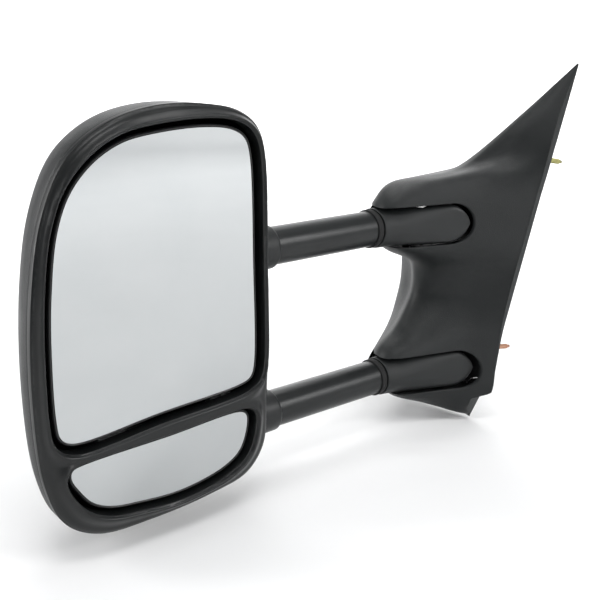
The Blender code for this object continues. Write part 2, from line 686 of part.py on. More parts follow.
def cover_cavity():
    """The hollow inside the cover, running out through the open door side."""
    skin = cover_skin(SKIN_STEPS, SKIN_STEPS)
    inner = skin - skin_normals(skin) * COVER_T
    solid_end = 2 * SKIN_STEPS
    rows = []
    for row in inner[solid_end:len(skin) - solid_end + 1]:
        rear, front = row[SKIN_STEPS], row[-1]
        z = row[0][2]
        path = [(plane_x(z) + 0.010, rear[1] + 0.0012, z), (rear[0], rear[1] + 0.0012, z)]
        path += [tuple(p) for p in row[SKIN_STEPS + 1:-1]]
        path += [(front[0], front[1], front[2]),
                 (plane_x(front[2]) + 0.010, front[1], front[2])]
        rows.append(path)
    bm = bmesh.new()
    loft(bm, [[Vector(p) for p in row] for row in rows])
    obj = cutter("cut_cavity", bm)
    for k, (y, z) in enumerate(COVER_SCREWS):
        boolean(obj, door_cylinder("cut_boss_%d" % k, y, z, 0.0045, -0.080, 0.020))
    return obj


def door_frame(obj):
    """Lean a piece that was drawn against an upright door plane."""
    obj.rotation_euler = (0, TUMBLEHOME, 0)
    return obj


def door_cylinder(name, y, z, radius, x0, x1):
    """Cylinder square to the door face, given in the face's own leaning frame."""
    bm = bmesh.new()
    rod(bm, ((x0, radius), (x1, radius)), (0, y, z), count=16)
    return door_frame(cutter(name, bm))


def door_prism(bm, points, x0, x1):
    loft(bm, [[Vector((x, y, z)) for y, z in points] for x in (x0, x1)])


def slot_cutter(i):
    """U-shaped slot that the tongue lies in, open at the rear and at the outboard end."""
    z0, rise = ARM_Z[i], TONGUE_RISE[i]
    half = TONGUE_R + 0.0010
    end = TONGUE_X[i] - TONGUE_R + 0.0012
    points = [(KNUCKLE_X[i] - 0.030, z0 + half), (KNUCKLE_X[i] - 0.030, z0 - half)]
    for k in range(9):
        a = -math.pi / 2 + math.pi * k / 8
        points.append((end + half * math.cos(a), z0 + rise + half * math.sin(a)))
    bm = bmesh.new()
    prism_xz(bm, points, -0.110, 0.0228)
    return cutter("cut_slot_" + NAMES[i], bm)


def base_cover():
    bm = bmesh.new()
    loft(bm, [[Vector(p) for p in row] for row in cover_skin(SKIN_STEPS, SKIN_STEPS)])
    obj = new_object("base_cover", bm, PLASTIC)
    boolean(obj, cover_cavity())
    bm = bmesh.new()
    door_prism(bm, offset_loop(rounded_loop(BRACKET_OUTLINE, 3), 0.0010),
               -BRACKET_T - 0.0010, 0.020)
    boolean(obj, door_frame(cutter("cut_bracket_space", bm)))
    for i in range(2):
        boolean(obj, slot_cutter(i))
    for k, (z0, z1, front) in enumerate(EARS):
        space = ear("cut_ear_space_%d" % k, z0 - 0.0006, z1 + 0.0006, front, 0.0008)
        boolean(obj, space)
    notch = rounded_loop(NOTCH, 3)
    bm = bmesh.new()
    door_prism(bm, notch, -0.120, 0.030)
    boolean(obj, cutter("cut_notch", bm))
    for k, (y, z) in enumerate(COVER_SCREWS):
        boolean(obj, door_cylinder("cut_screw_hole_%d" % k, y, z, 0.0021, -0.0150, 0.020))
    return obj


def ear(name, z0, z1, front, grow=0.0):
    """Lug that reaches from the bracket plate to the fold axis."""
    px, py = PIVOT
    root = plane_x((z0 + z1) / 2) - 0.0020
    points = [(root, -0.040 - grow), (root, front + grow)]
    for k in range(9):
        a = math.radians(110 + 160 * k / 8)
        points.append((px + (EAR_R + grow) * math.cos(a), py + (EAR_R + grow) * math.sin(a)))
    bm = bmesh.new()
    loft(bm, [[Vector((x, y, z)) for x, y in points] for z in (z0, z1)])
    return cutter(name, bm)


def mount_bracket():
    outline = rounded_loop(BRACKET_OUTLINE, 3)
    bm = bmesh.new()
    door_prism(bm, outline, -BRACKET_T, 0.0)
    obj = door_frame(new_object("mount_bracket", bm, CASTING))
    for k, (z0, z1, front) in enumerate(EARS):
        boolean(obj, ear("add_ear_%d" % k, z0, z1, front), "UNION")
    px, py = PIVOT
    bm = bmesh.new()
    rod(bm, ((-0.150, PIN_R + GAP), (0.150, PIN_R + GAP)), (px, py, 0), axis="z")
    boolean(obj, cutter("cut_pivot_bore", bm))
    for name, (y, z) in STUDS.items():
        boolean(obj, door_cylinder("cut_stud_" + name, y, z, 0.0033, -0.030, 0.030))
    for k, (y, z) in enumerate(COVER_SCREWS):
        boolean(obj, door_cylinder("cut_cover_screw_%d" % k, y, z, 0.0024, -0.030, 0.030))
        boolean(obj, door_cylinder("cut_head_%d" % k, y, z, 0.0046, -0.0034, 0.030))
    return obj


def door_gasket():
    outline = rounded_loop(BRACKET_OUTLINE, 3)
    outer = offset_loop(outline, 0.0062)
    inner = offset_loop(outline, 0.0006)
    bm = bmesh.new()
    loft(bm, [[Vector((x, y, z)) for y, z in loop]
              for x, loop in ((-GASKET_T, outer), (0.0, outer), (0.0, inner),
                              (-GASKET_T, inner))], closed=True)
    return door_frame(new_object("door_gasket", bm, RUBBER))


def studs():
    for name, (y, z) in STUDS.items():
        bm = bmesh.new()
        rod(bm, ((-BRACKET_T - 0.0032, 0.0066), (-BRACKET_T - GAP, 0.0066),
                 (-BRACKET_T - GAP, 0.0029), (0.0310, 0.0029), (0.0320, 0.0020),
                 (0.0370, 0.0018)), (0, y, z), count=16)
        door_frame(new_object(name + "_stud", bm, COPPER if name == "lower" else ZINC))


def cover_screws():
    for k, (y, z) in enumerate(COVER_SCREWS):
        bm = bmesh.new()
        rod(bm, ((-0.0140, 0.0016), (-0.0030, 0.0016), (-0.0030, 0.0042),
                 (-0.0010, 0.0036)), (0, y, z), count=12)
        door_frame(new_object("cover_screw_%d" % (k + 1), bm, STEEL))


def main():
    clean_scene()
    head_bezel()
    head_rear_shell()
    head_carrier()
    carrier_screws()
    slide_bushings()
    tension_pads()
    glass_set("main", MAIN_OUTLINE)
    glass_set("spotter", SPOTTER_OUTLINE)
    for i, name in enumerate(NAMES):
        collar(name, ARM_Z[i])
        tube(name, ARM_Z[i], KNUCKLE_X[i])
        tube_end_stop(name, ARM_Z[i])
        knuckle(i)
        arm_ring(i)
    pivot_pins()
    fold_spring()
    detent_ring()
    base_cover()
    mount_bracket()
    door_gasket()
    studs()
    cover_screws()


main()
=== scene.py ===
"""Towing mirror for the driver's side of a pickup truck: the visible model, round the
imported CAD.  Metres, +Z up, +X inboard, +Y towards the front of the vehicle.
"""

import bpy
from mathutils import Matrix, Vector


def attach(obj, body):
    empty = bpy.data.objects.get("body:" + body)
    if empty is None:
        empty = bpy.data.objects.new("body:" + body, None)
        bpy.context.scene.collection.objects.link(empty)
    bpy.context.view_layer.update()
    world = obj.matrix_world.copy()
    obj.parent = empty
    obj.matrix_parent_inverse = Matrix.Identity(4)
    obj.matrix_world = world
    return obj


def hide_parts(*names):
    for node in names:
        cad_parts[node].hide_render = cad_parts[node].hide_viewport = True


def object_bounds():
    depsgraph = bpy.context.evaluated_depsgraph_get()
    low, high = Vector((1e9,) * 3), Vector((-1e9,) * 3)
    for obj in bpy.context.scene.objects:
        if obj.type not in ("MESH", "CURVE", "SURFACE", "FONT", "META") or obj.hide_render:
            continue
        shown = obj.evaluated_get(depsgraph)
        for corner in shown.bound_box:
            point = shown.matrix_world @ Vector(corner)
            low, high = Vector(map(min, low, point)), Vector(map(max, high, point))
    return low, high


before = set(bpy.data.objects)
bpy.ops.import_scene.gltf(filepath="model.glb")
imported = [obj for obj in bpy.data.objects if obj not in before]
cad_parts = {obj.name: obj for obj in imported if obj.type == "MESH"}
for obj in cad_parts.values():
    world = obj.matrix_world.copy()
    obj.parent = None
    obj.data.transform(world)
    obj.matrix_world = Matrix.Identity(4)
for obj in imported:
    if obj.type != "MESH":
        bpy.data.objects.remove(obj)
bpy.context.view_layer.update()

import math

import bmesh
import bpy
import numpy as np
from mathutils import Matrix, Vector
from mathutils.bvhtree import BVHTree
from mathutils.geometry import delaunay_2d_cdt

# ---- driving dimensions ---------------------------------------------------------------
GAP = 0.0004                    # air between neighbouring pieces that touch
TUMBLEHOME = math.radians(10)   # lean of the door face, top inboard
TUBE_R = 0.01905                # telescoping tube, 1.5 inch outside
TUBE_BORE = 0.0160
ARM_Z = (0.086, -0.086)         # heights of the upper and lower arm
NAMES = ("upper", "lower")
KNUCKLE_X = (-0.145, -0.134)    # outboard ends of the two knuckles
RING_LENGTH = 0.0080            # sleeves at the knuckles' outboard ends
TONGUE_X = (-0.050, -0.034)     # inboard round ends of the two tongues
TONGUE_R = 0.0215               # half height of a tongue
TONGUE_SLOPE = 0.35             # the tongues' rear faces come back this much per length
TONGUE_RISE = (0.0025, 0.0040)  # how far each tongue's end sits above its arm
PIVOT = (-0.095, -0.020)        # X and Y of the vertical fold axis
PIN_R = 0.0045
TUBE_OUT = -0.390               # outer ends of the tubes
COLLAR_END = -0.2835            # inboard ends of the head collars
BEZEL_FRONT = -0.062            # Y of the bezel's ridge
BEZEL_BACK = -0.046
GLASS_FRONT = -0.053
GLASS_T = 0.0023
PIVOT_BALL_Y = -0.039
BALL_R = 0.008
SHELL_T = 0.003
COVER_T = 0.0026
EDGE_CREASE = 0.05              # how tightly the cover turns its rear edge
GASKET_T = 0.003
WALL_GAP = 0.0065               # side clearance between a glass and the bezel opening

# Smooth outlines in the X-Z plane through these points, anticlockwise from the front.
HEAD_OUTLINE = (
    (-0.3255, 0.184), (-0.3335, 0.2095), (-0.3525, 0.2235), (-0.392, 0.231), (-0.434, 0.231),
    (-0.4765, 0.220), (-0.512, 0.195), (-0.534, 0.154), (-0.5465, 0.100), (-0.5535, 0.015),
    (-0.549, -0.068), (-0.5345, -0.105), (-0.5045, -0.1245), (-0.4535, -0.128),
    (-0.389, -0.124), (-0.351, -0.1160), (-0.331, -0.093), (-0.3265, -0.052),
    (-0.3255, 0.070))
MAIN_OUTLINE = (
    (-0.343, 0.188), (-0.348, 0.2005), (-0.361, 0.208), (-0.390, 0.2115), (-0.437, 0.209),
    (-0.4655, 0.2035), (-0.491, 0.1895), (-0.511, 0.168), (-0.5235, 0.139),
    (-0.5315, 0.094), (-0.5355, 0.045), (-0.536, -0.014), (-0.5335, -0.028),
    (-0.5235, -0.0345), (-0.440, -0.029), (-0.356, -0.0235), (-0.3455, -0.0195),
    (-0.3415, -0.009), (-0.3405, 0.087))
SPOTTER_OUTLINE = (
    (-0.3555, -0.0515), (-0.435, -0.0535), (-0.517, -0.0560), (-0.526, -0.0580),
    (-0.5275, -0.065), (-0.521, -0.078), (-0.510, -0.0925), (-0.493, -0.1015),
    (-0.466, -0.106), (-0.431, -0.109), (-0.402, -0.1065), (-0.376, -0.100),
    (-0.360, -0.090), (-0.352, -0.073), (-0.3505, -0.056))
# The spotter's opening comes close to the glass along the bar between the two glasses.
SPOTTER_OPENING = (
    (-0.352, -0.0475), (-0.435, -0.0495), (-0.517, -0.0520), (-0.529, -0.0545),
    (-0.5335, -0.064), (-0.527, -0.0815), (-0.5145, -0.0975), (-0.4955, -0.1075),
    (-0.4665, -0.1122), (-0.431, -0.1153), (-0.400, -0.1128), (-0.372, -0.106),
    (-0.354, -0.0935), (-0.3455, -0.0745), (-0.344, -0.054))
# Outline of the mount bracket in the door face's own frame: Y, height, corner radius.
BRACKET_OUTLINE = (
    (-0.0640, -0.0980, 0.006), (-0.0440, -0.1040, 0.006), (-0.0400, -0.1230, 0.006),
    (0.0480, -0.1020, 0.012), (0.0700, -0.0900, 0.015), (0.0780, -0.0200, 0.040),
    (0.0770, 0.0520, 0.020), (0.0100, 0.1150, 0.040), (-0.0640, 0.1800, 0.008),
    (-0.0940, 0.1800, 0.008), (-0.0700, -0.0300, 0.060))
BRACKET_T = 0.005
# Corner cut out of the cover's lower rear edge: Y, Z, corner radius.
NOTCH = (
    (-0.0900, -0.0980, 0.001), (-0.0900, -0.2000, 0.004), (-0.0460, -0.2000, 0.004),
    (-0.0525, -0.1440, 0.003), (-0.0620, -0.1180, 0.004), (-0.0750, -0.1120, 0.004))
STUDS = {"upper": (-0.0850, 0.1570), "lower": (-0.0600, -0.0630), "front": (0.0600, 0.0300)}
BALL_AT = {"main": (-0.437, 0.092), "spotter": (-0.435, -0.079)}


def rounded_loop(corners, steps):
    """Points of a closed outline whose corners are rounded by arcs."""
    points = []
    count = len(corners)
    for i, (x, z, radius) in enumerate(corners):
        here = Vector((x, z))
        before = (Vector(corners[i - 1][:2]) - here).normalized()
        after = (Vector(corners[(i + 1) % count][:2]) - here).normalized()
        half = before.angle(after) / 2
        centre = here + (before + after).normalized() * radius / math.sin(half)
        reach = radius / math.tan(half)
        start = here + before * reach - centre
        turn = math.pi - 2 * half
        side = 1 if before.x * after.y - before.y * after.x < 0 else -1
        for k in range(steps + 1):
            angle = side * turn * k / steps
            c, s = math.cos(angle), math.sin(angle)
            points.append((centre.x + c * start.x - s * start.y,
                           centre.y + s * start.x + c * start.y))
    return points


def smooth_loop(points, steps):
    """Closed centripetal spline through the points, with the given steps per span."""
    pts = np.array(points)
    count = len(pts)
    loop = []
    for i in range(count):
        p = [pts[(i + k) % count] for k in (-1, 0, 1, 2)]
        t = np.cumsum([0] + [np.linalg.norm(p[k + 1] - p[k]) ** 0.5 for k in range(3)])
        for k in range(steps):
            at = t[1] + (t[2] - t[1]) * k / steps
            level = [((t[j + 1] - at) * p[j] + (at - t[j]) * p[j + 1]) / (t[j + 1] - t[j])
                     for j in range(3)]
            level = [((t[j + 2] - at) * level[j] + (at - t[j]) * level[j + 1])
                     / (t[j + 2] - t[j]) for j in range(2)]
            x, z = ((t[2] - at) * level[0] + (at - t[1]) * level[1]) / (t[2] - t[1])
            loop.append((float(x), float(z)))
    return loop


def offset_loop(points, distance):
    """The outline moved outwards by distance; the points run anticlockwise."""
    moved = []
    count = len(points)
    for i, (x, z) in enumerate(points):
        before = Vector(points[i - 1])
        after = Vector(points[(i + 1) % count])
        along = (after - before).normalized()
        moved.append((x + along.y * distance, z - along.x * distance))
    return moved


def ring_xz(points, y):
    return [Vector((x, y, z)) for x, z in points]


def circle_x(radius, x, y, z, count):
    """A ring of points round an axis along X."""
    return [Vector((x, y + radius * math.cos(a), z + radius * math.sin(a)))
            for a in (2 * math.pi * k / count for k in range(count))]


def circle_y(radius, x, y, z, count):
    return [Vector((x + radius * math.cos(a), y, z + radius * math.sin(a)))
            for a in (2 * math.pi * k / count for k in range(count))]


def circle_z(radius, x, y, z, count):
    return [Vector((x + radius * math.cos(a), y + radius * math.sin(a), z))
            for a in (2 * math.pi * k / count for k in range(count))]


def loft(bm, rings, closed=False):
    """Skin between equal rings of points: capped at both ends, or closed like a torus."""
    loops = [[bm.verts.new(p) for p in ring] for ring in rings]
    pairs = list(zip(loops, loops[1:]))
    if closed:
        pairs.append((loops[-1], loops[0]))
    for a, b in pairs:
        count = len(a)
        for i in range(count):
            j = (i + 1) % count
            bm.faces.new((a[i], a[j], b[j], b[i]))
    if not closed:
        bm.faces.new(loops[0][::-1])
        bm.faces.new(loops[-1])


def profile_rings(profile, centre, axis, count):
    """Rings of a turned piece from (position along the axis, radius) pairs."""
    x, y, z = centre
    if axis == "x":
        return [circle_x(radius, along, y, z, count) for along, radius in profile]
    return [circle_z(radius, x, y, along, count) for along, radius in profile]


def turned(bm, profile, centre, axis="x", count=32):
    """A turned solid with a bore, round a closed profile."""
    loft(bm, profile_rings(profile, centre, axis, count), closed=True)


def rod(bm, profile, centre, axis="x", count=24):
    """A turned solid without a bore."""
    loft(bm, profile_rings(profile, centre, axis, count))


# ---- meshes ---------------------------------------------------------------------------
def finished(name, bm, look, body, nodes=(), smooth_angle=40):
    """A visible piece: its mesh, its material, the body it rides on and what it replaces."""
    bmesh.ops.recalc_face_normals(bm, faces=bm.faces)
    mesh = bpy.data.meshes.new(name)
    bm.to_mesh(mesh)
    bm.free()
    mesh.shade_smooth()
    mesh.set_sharp_from_angle(angle=math.radians(smooth_angle))
    obj = bpy.data.objects.new(name, mesh)
    bpy.context.scene.collection.objects.link(obj)
    obj.data.materials.append(look)
    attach(obj, body)
    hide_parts(*nodes)
    return obj


def cut(obj, bm, operation="DIFFERENCE", matrix=None, crossing=False):
    """Boolean with a temporary tool, applied at once; crossing is for meshes that cross themselves."""
    bmesh.ops.recalc_face_normals(bm, faces=bm.faces)
    mesh = bpy.data.meshes.new("tool")
    bm.to_mesh(mesh)
    bm.free()
    tool = bpy.data.objects.new("tool", mesh)
    if matrix is not None:
        mesh.transform(matrix)
    bpy.context.scene.collection.objects.link(tool)
    mod = obj.modifiers.new("cut", "BOOLEAN")
    mod.operation = operation
    mod.object = tool
    mod.solver = "EXACT"
    mod.use_self = crossing
    bpy.context.view_layer.update()
    graph = bpy.context.evaluated_depsgraph_get()
    result = bpy.data.meshes.new_from_object(obj.evaluated_get(graph))
    obj.modifiers.clear()
    old = obj.data
    obj.data = result
    bpy.data.meshes.remove(old)
    bpy.data.objects.remove(tool)


def even_normals(obj, smooth_angle=35):
    """Shading normals weighted by face area, so cuts leave no streaks beside them."""
    obj.data.shade_smooth()
    obj.data.set_sharp_from_angle(angle=math.radians(smooth_angle))
    mod = obj.modifiers.new("even normals", "WEIGHTED_NORMAL")
    mod.keep_sharp = True
    mod.weight = 60


# ---- materials ------------------------------------------------------------------------
class Look:
    """A Principled material and short helpers for the nodes that drive it."""

    def __init__(self, name, metallic=0.0, specular=0.5):
        self.mat = bpy.data.materials.new(name)
        self.mat.use_nodes = True
        self.tree = self.mat.node_tree
        self.shader = self.tree.nodes["Principled BSDF"]
        self.shader.inputs["Metallic"].default_value = metallic
        self.shader.inputs["Specular IOR Level"].default_value = specular
        self.place = self.node("ShaderNodeTexCoord").outputs["Object"]

    def node(self, kind, **values):
        made = self.tree.nodes.new(kind)
        for key, value in values.items():
            setattr(made, key, value)
        return made

    def link(self, source, target):
        self.tree.links.new(source, target)

    def stretched(self, scale):
        """Object coordinates multiplied per axis."""
        made = self.node("ShaderNodeMapping")
        made.inputs["Scale"].default_value = scale
        self.link(self.place, made.inputs["Vector"])
        return made.outputs["Vector"]

    def noise(self, scale, detail=4.0, roughness=0.55, place=None):
        made = self.node("ShaderNodeTexNoise")
        made.inputs["Scale"].default_value = scale
        made.inputs["Detail"].default_value = detail
        made.inputs["Roughness"].default_value = roughness
        self.link(place or self.place, made.inputs["Vector"])
        return made.outputs["Fac"]

    def cells(self, scale):
        made = self.node("ShaderNodeTexVoronoi")
        made.inputs["Scale"].default_value = scale
        self.link(self.place, made.inputs["Vector"])
        return made.outputs["Distance"]

    def ranged(self, value, low, high, start=0.3, end=0.7):
        """The value between start and end mapped to low..high."""
        made = self.node("ShaderNodeMapRange")
        for key, number in (("From Min", start), ("From Max", end), ("To Min", low),
                            ("To Max", high)):
            made.inputs[key].default_value = number
        self.link(value, made.inputs["Value"])
        return made.outputs["Result"]

    def math(self, kind, a, b):
        made = self.node("ShaderNodeMath", operation=kind)
        for socket, value in zip(made.inputs, (a, b)):
            if isinstance(value, (int, float)):
                socket.default_value = value
            else:
                self.link(value, socket)
        return made.outputs[0]

    def mix(self, factor, a, b):
        """Colour a to colour b; each is a colour or a socket."""
        made = self.node("ShaderNodeMix", data_type="RGBA")
        self.link(factor, made.inputs["Factor"])
        for socket, value in ((made.inputs[6], a), (made.inputs[7], b)):
            if isinstance(value, tuple):
                socket.default_value = (*value, 1.0)
            else:
                self.link(value, socket)
        return made.outputs[2]

    def colour(self, socket):
        self.link(socket, self.shader.inputs["Base Color"])

    def roughness(self, socket):
        self.link(socket, self.shader.inputs["Roughness"])

    def bump(self, *layers):
        """Bump from (height socket, distance) layers, the coarsest first."""
        normal = None
        for height, distance in layers:
            made = self.node("ShaderNodeBump")
            made.inputs["Distance"].default_value = distance
            self.link(height, made.inputs["Height"])
            if normal is not None:
                self.link(normal, made.inputs["Normal"])
            normal = made.outputs["Normal"]
        self.link(normal, self.shader.inputs["Normal"])


def grained_plastic(name, dark, light, rough, grain, depth):
    """Textured black moulding: fine pebble grain, faint mottling, a little dust on top."""
    look = Look(name, specular=0.30)
    mottle = look.noise(22.0, 5.0)
    pebble = look.cells(grain)
    fine = look.noise(grain * 1.7, 3.0)
    base = look.mix(look.ranged(mottle, 0.0, 1.0), dark, light)
    speck = look.ranged(pebble, 0.35, 0.0, 0.0, 0.45)
    base = look.mix(speck, base, tuple(c * 1.45 for c in light))
    up = look.node("ShaderNodeSeparateXYZ")
    look.link(look.node("ShaderNodeNewGeometry").outputs["Normal"], up.inputs[0])
    dust = look.math("MULTIPLY", look.ranged(up.outputs["Z"], 0.0, 0.10, 0.2, 1.0),
                     look.ranged(look.noise(60.0, 6.0), 0.2, 1.0))
    look.colour(look.mix(dust, base, (0.20, 0.20, 0.195)))
    look.roughness(look.math("ADD", look.ranged(mottle, rough - 0.05, rough + 0.05),
                             look.ranged(fine, -0.04, 0.04)))
    look.bump((look.noise(9.0, 2.0), 0.0006), (pebble, depth), (fine, depth * 0.4))
    return look.mat


def satin_plastic(name, dark, light, rough):
    """Smooth satin moulding with faint waviness, handling marks and hairline scuffs."""
    look = Look(name, specular=0.36)
    mottle = look.noise(30.0, 5.0)
    scuff = look.noise(90.0, 6.0, 0.7, look.stretched((1.0, 1.0, 0.12)))
    base = look.mix(look.ranged(mottle, 0.0, 1.0), dark, light)
    look.colour(look.mix(look.ranged(scuff, 0.0, 0.35, 0.62, 0.80), base,
                         tuple(c * 2.2 for c in light)))
    look.roughness(look.math("ADD", look.ranged(mottle, rough - 0.04, rough + 0.05),
                             look.ranged(scuff, 0.0, 0.10, 0.5, 0.75)))
    look.bump((look.noise(14.0, 2.0), 0.0005), (look.noise(2600.0, 2.0), 0.00002))
    return look.mat


def coated_metal(name, dark, light, rough, scale=700.0):
    """Powder coat: orange peel, fine sparkle of roughness and slide marks along X."""
    look = Look(name, specular=0.36)
    peel = look.noise(scale, 2.0, 0.4)
    rub = look.noise(160.0, 5.0, 0.6, look.stretched((0.04, 1.0, 1.0)))
    base = look.mix(look.ranged(look.noise(35.0, 4.0), 0.0, 1.0), dark, light)
    look.colour(look.mix(look.ranged(rub, 0.0, 0.30, 0.55, 0.80), base,
                         tuple(c * 2.0 for c in light)))
    look.roughness(look.math("ADD", look.ranged(rub, rough + 0.04, rough - 0.05),
                             look.ranged(peel, -0.03, 0.03)))
    look.bump((look.noise(40.0, 2.0), 0.0003), (peel, 0.00006))
    return look.mat


def mirror_glass(name):
    """Silvered glass with a trace of haze, dust specks and gentle waviness."""
    look = Look(name, metallic=1.0)
    haze = look.noise(16.0, 5.0, 0.6)
    base = look.mix(look.ranged(haze, 0.0, 1.0), (0.485, 0.502, 0.508), (0.505, 0.520, 0.525))
    speck = look.ranged(look.cells(260.0), 1.0, 0.0, 0.015, 0.05)
    rare = look.math("MULTIPLY", speck, look.ranged(look.noise(50.0, 3.0), 0.0, 0.25, 0.6, 0.8))
    look.colour(look.mix(rare, base, (0.44, 0.44, 0.43)))
    look.roughness(look.math("ADD", look.ranged(haze, 0.015, 0.05), rare))
    look.bump((look.noise(7.0, 1.0), 0.00006))
    return look.mat


def bare_metal(name, dark, light, rough, brush=(1.0, 1.0, 1.0), stain=None, scale=420.0):
    """Cast, plated or turned metal: grain, tool marks and patches of tarnish."""
    look = Look(name, metallic=1.0)
    grain = look.noise(scale, 4.0, 0.6, look.stretched(brush))
    patch = look.noise(55.0, 5.0)
    base = look.mix(look.ranged(grain, 0.0, 1.0), dark, light)
    look.colour(look.mix(look.ranged(patch, 0.0, 0.55, 0.48, 0.75), base,
                         stain or tuple(c * 0.55 for c in dark)))
    look.roughness(look.math("ADD", look.ranged(grain, rough - 0.06, rough + 0.08),
                             look.ranged(patch, -0.04, 0.10)))
    look.bump((patch, 0.00008), (grain, 0.00004))
    return look.mat


def soft_rubber(name, dark, light, rough):
    """Rubber or nylon: matt, finely pitted, slightly blotchy."""
    look = Look(name, specular=0.3)
    blotch = look.noise(40.0, 5.0)
    look.colour(look.mix(look.ranged(blotch, 0.0, 1.0), dark, light))
    look.roughness(look.ranged(blotch, rough - 0.06, rough + 0.06))
    look.bump((look.noise(1500.0, 3.0), 0.00005))
    return look.mat


COVER = grained_plastic("grained_black_plastic", (0.0078, 0.0092, 0.0096),
                        (0.0112, 0.0128, 0.0133), 0.46, 1300.0, 0.00010)
SHELL = grained_plastic("grained_shell_plastic", (0.0088, 0.0100, 0.0104),
                        (0.0125, 0.0138, 0.0142), 0.45, 1150.0, 0.00012)
BEZEL = satin_plastic("satin_black_plastic", (0.0048, 0.0056, 0.0058),
                      (0.0070, 0.0079, 0.0082), 0.33)
HOLDER = satin_plastic("holder_plastic", (0.0090, 0.0092, 0.0095),
                       (0.0130, 0.0135, 0.0140), 0.30)
KNUCKLE = satin_plastic("knuckle_satin_black", (0.0095, 0.0108, 0.0112),
                        (0.0130, 0.0144, 0.0148), 0.44)
COLLAR = satin_plastic("collar_satin_black", (0.0095, 0.0106, 0.0110),
                       (0.0130, 0.0143, 0.0148), 0.42)
TUBE = coated_metal("coated_tube_black", (0.0072, 0.0082, 0.0086),
                    (0.0102, 0.0113, 0.0117), 0.36)
# Dark coat on the mount bracket: partly its finish, partly painted shade, so that the gaps round the
# tongues show dark instead of the metal behind them.
BRACKET_COAT_AND_SHADE = coated_metal("bracket_coat_and_painted_shade", (0.0180, 0.0190, 0.0200),
                            (0.0300, 0.0310, 0.0320), 0.46)
GLASS = mirror_glass("mirror_glass")
CAST = bare_metal("cast_aluminium", (0.30, 0.305, 0.31), (0.46, 0.465, 0.47), 0.48)
PLATED = bare_metal("plated_steel", (0.42, 0.42, 0.415), (0.62, 0.62, 0.61), 0.30,
                    (1.0, 1.0, 6.0))
YELLOW_ZINC = bare_metal("yellow_zinc", (0.30, 0.28, 0.11), (0.48, 0.45, 0.20), 0.34,
                         (6.0, 1.0, 1.0), (0.20, 0.22, 0.10))
COPPER_PLATE = bare_metal("copper_plate", (0.42, 0.22, 0.14), (0.62, 0.36, 0.25), 0.34,
                          (6.0, 1.0, 1.0), (0.30, 0.13, 0.08))
RUBBER = soft_rubber("black_rubber", (0.0100, 0.0100, 0.0102), (0.0165, 0.0165, 0.0168), 0.78)
NYLON = soft_rubber("natural_nylon", (0.52, 0.50, 0.44), (0.62, 0.60, 0.54), 0.42)


# ---- mirror head ----------------------------------------------------------------------
def spaced(points, gap):
    """The closed outline resampled at an even spacing."""
    pts = np.array([tuple(p) for p in points] + [tuple(points[0])])
    run = np.concatenate([[0], np.cumsum(np.linalg.norm(np.diff(pts, axis=0), axis=1))])
    count = int(run[-1] / gap)
    at = np.arange(count) * run[-1] / count
    return np.stack([np.interp(at, run, pts[:, k]) for k in range(2)], axis=1)


def smoothed(points, rounds):
    """The closed outline relaxed, so that arcs and straights flow into each other."""
    pts = np.array(points)
    for _ in range(rounds):
        pts = 0.5 * pts + 0.25 * (np.roll(pts, 1, axis=0) + np.roll(pts, -1, axis=0))
    return pts


def outline_of(corners, offset=0.0, gap=0.0022, rounds=6):
    """A fine, flowing version of one of the outlines above, moved outwards by offset."""
    loop = smooth_loop(corners, 12)
    pts = smoothed(spaced(loop, gap), rounds)
    return np.array(offset_loop([tuple(p) for p in pts], offset))


def distance_to(points, loop):
    """Distance from each point to the closed polyline."""
    a, b = loop, np.roll(loop, -1, axis=0)
    ab = b - a
    length = (ab ** 2).sum(1)
    best = np.full(len(points), 1e9)
    for start in range(0, len(points), 500):
        p = points[start:start + 500]
        t = ((p[:, None] - a) * ab).sum(2) / length
        near = a + np.clip(t, 0, 1)[..., None] * ab
        best[start:start + 500] = np.linalg.norm(p[:, None] - near, axis=2).min(1)
    return best


def inside(points, loop):
    """Even-odd test of each point against the closed polyline."""
    x, z = points[:, 0], points[:, 1]
    found = np.zeros(len(points), bool)
    for (ax, az), (bx, bz) in zip(loop, np.roll(loop, -1, axis=0)):
        crosses = (az > z) != (bz > z)
        if az != bz:
            found ^= crosses & (x < (bx - ax) * (z - az) / (bz - az) + ax)
    return found


BEZEL_ROLL = 0.0028       # radius of the roll from the bead into the openings
BEZEL_SLOPE = 0.0105      # how far the outer edge lies behind the bead
SLOPE_STEP = 0.0010       # reach over which the bezel's slope is measured
MAIN_EASE = 0.0012        # how much wider the main opening is drawn than in the CAD
POINT_GAP = 0.0006        # least distance between two points of the bezel's face
CELL = 2 * POINT_GAP
OUTER_STEPS = (0.0004, 0.0010, 0.0018, 0.0030, 0.0045, 0.0062, 0.0085, 0.0110, 0.0140,
               0.0175, 0.0215)
INNER_STEPS = (0.0003, 0.0008, 0.0014, 0.0021, 0.0029, 0.0038, 0.0048, 0.0060, 0.0080)


def nearest_opening(points, holes):
    return np.minimum(*[distance_to(points, hole) for hole in holes])


def on_frame(points, outer, holes):
    """Which points lie on the frame: inside its outline and outside both openings."""
    return inside(points, outer) & ~inside(points, holes[0]) & ~inside(points, holes[1])


def bezel_depth(points, outer, holes):
    """Y of the bezel's front face: outer roll, hollow slope, bead, roll into the opening."""
    to_outer = distance_to(points, outer)
    to_hole = nearest_opening(points, holes)
    roll = np.clip(1 - to_hole / BEZEL_ROLL, 0, 1)
    inward = BEZEL_ROLL * 1.3 * roll ** 2.5
    width = np.maximum(to_outer + to_hole - BEZEL_ROLL * 0.75, 1e-4)
    rise = 1 - np.clip(to_outer / width, 0, 1)
    flank = 0.5 - 0.5 * np.cos(math.pi * np.clip(rise / 0.62, 0, 1))
    outward = BEZEL_SLOPE * (0.50 * flank + 0.12 * rise + 0.38 * rise ** 6)
    return BEZEL_FRONT + np.minimum(inward + outward, BEZEL_SLOPE)


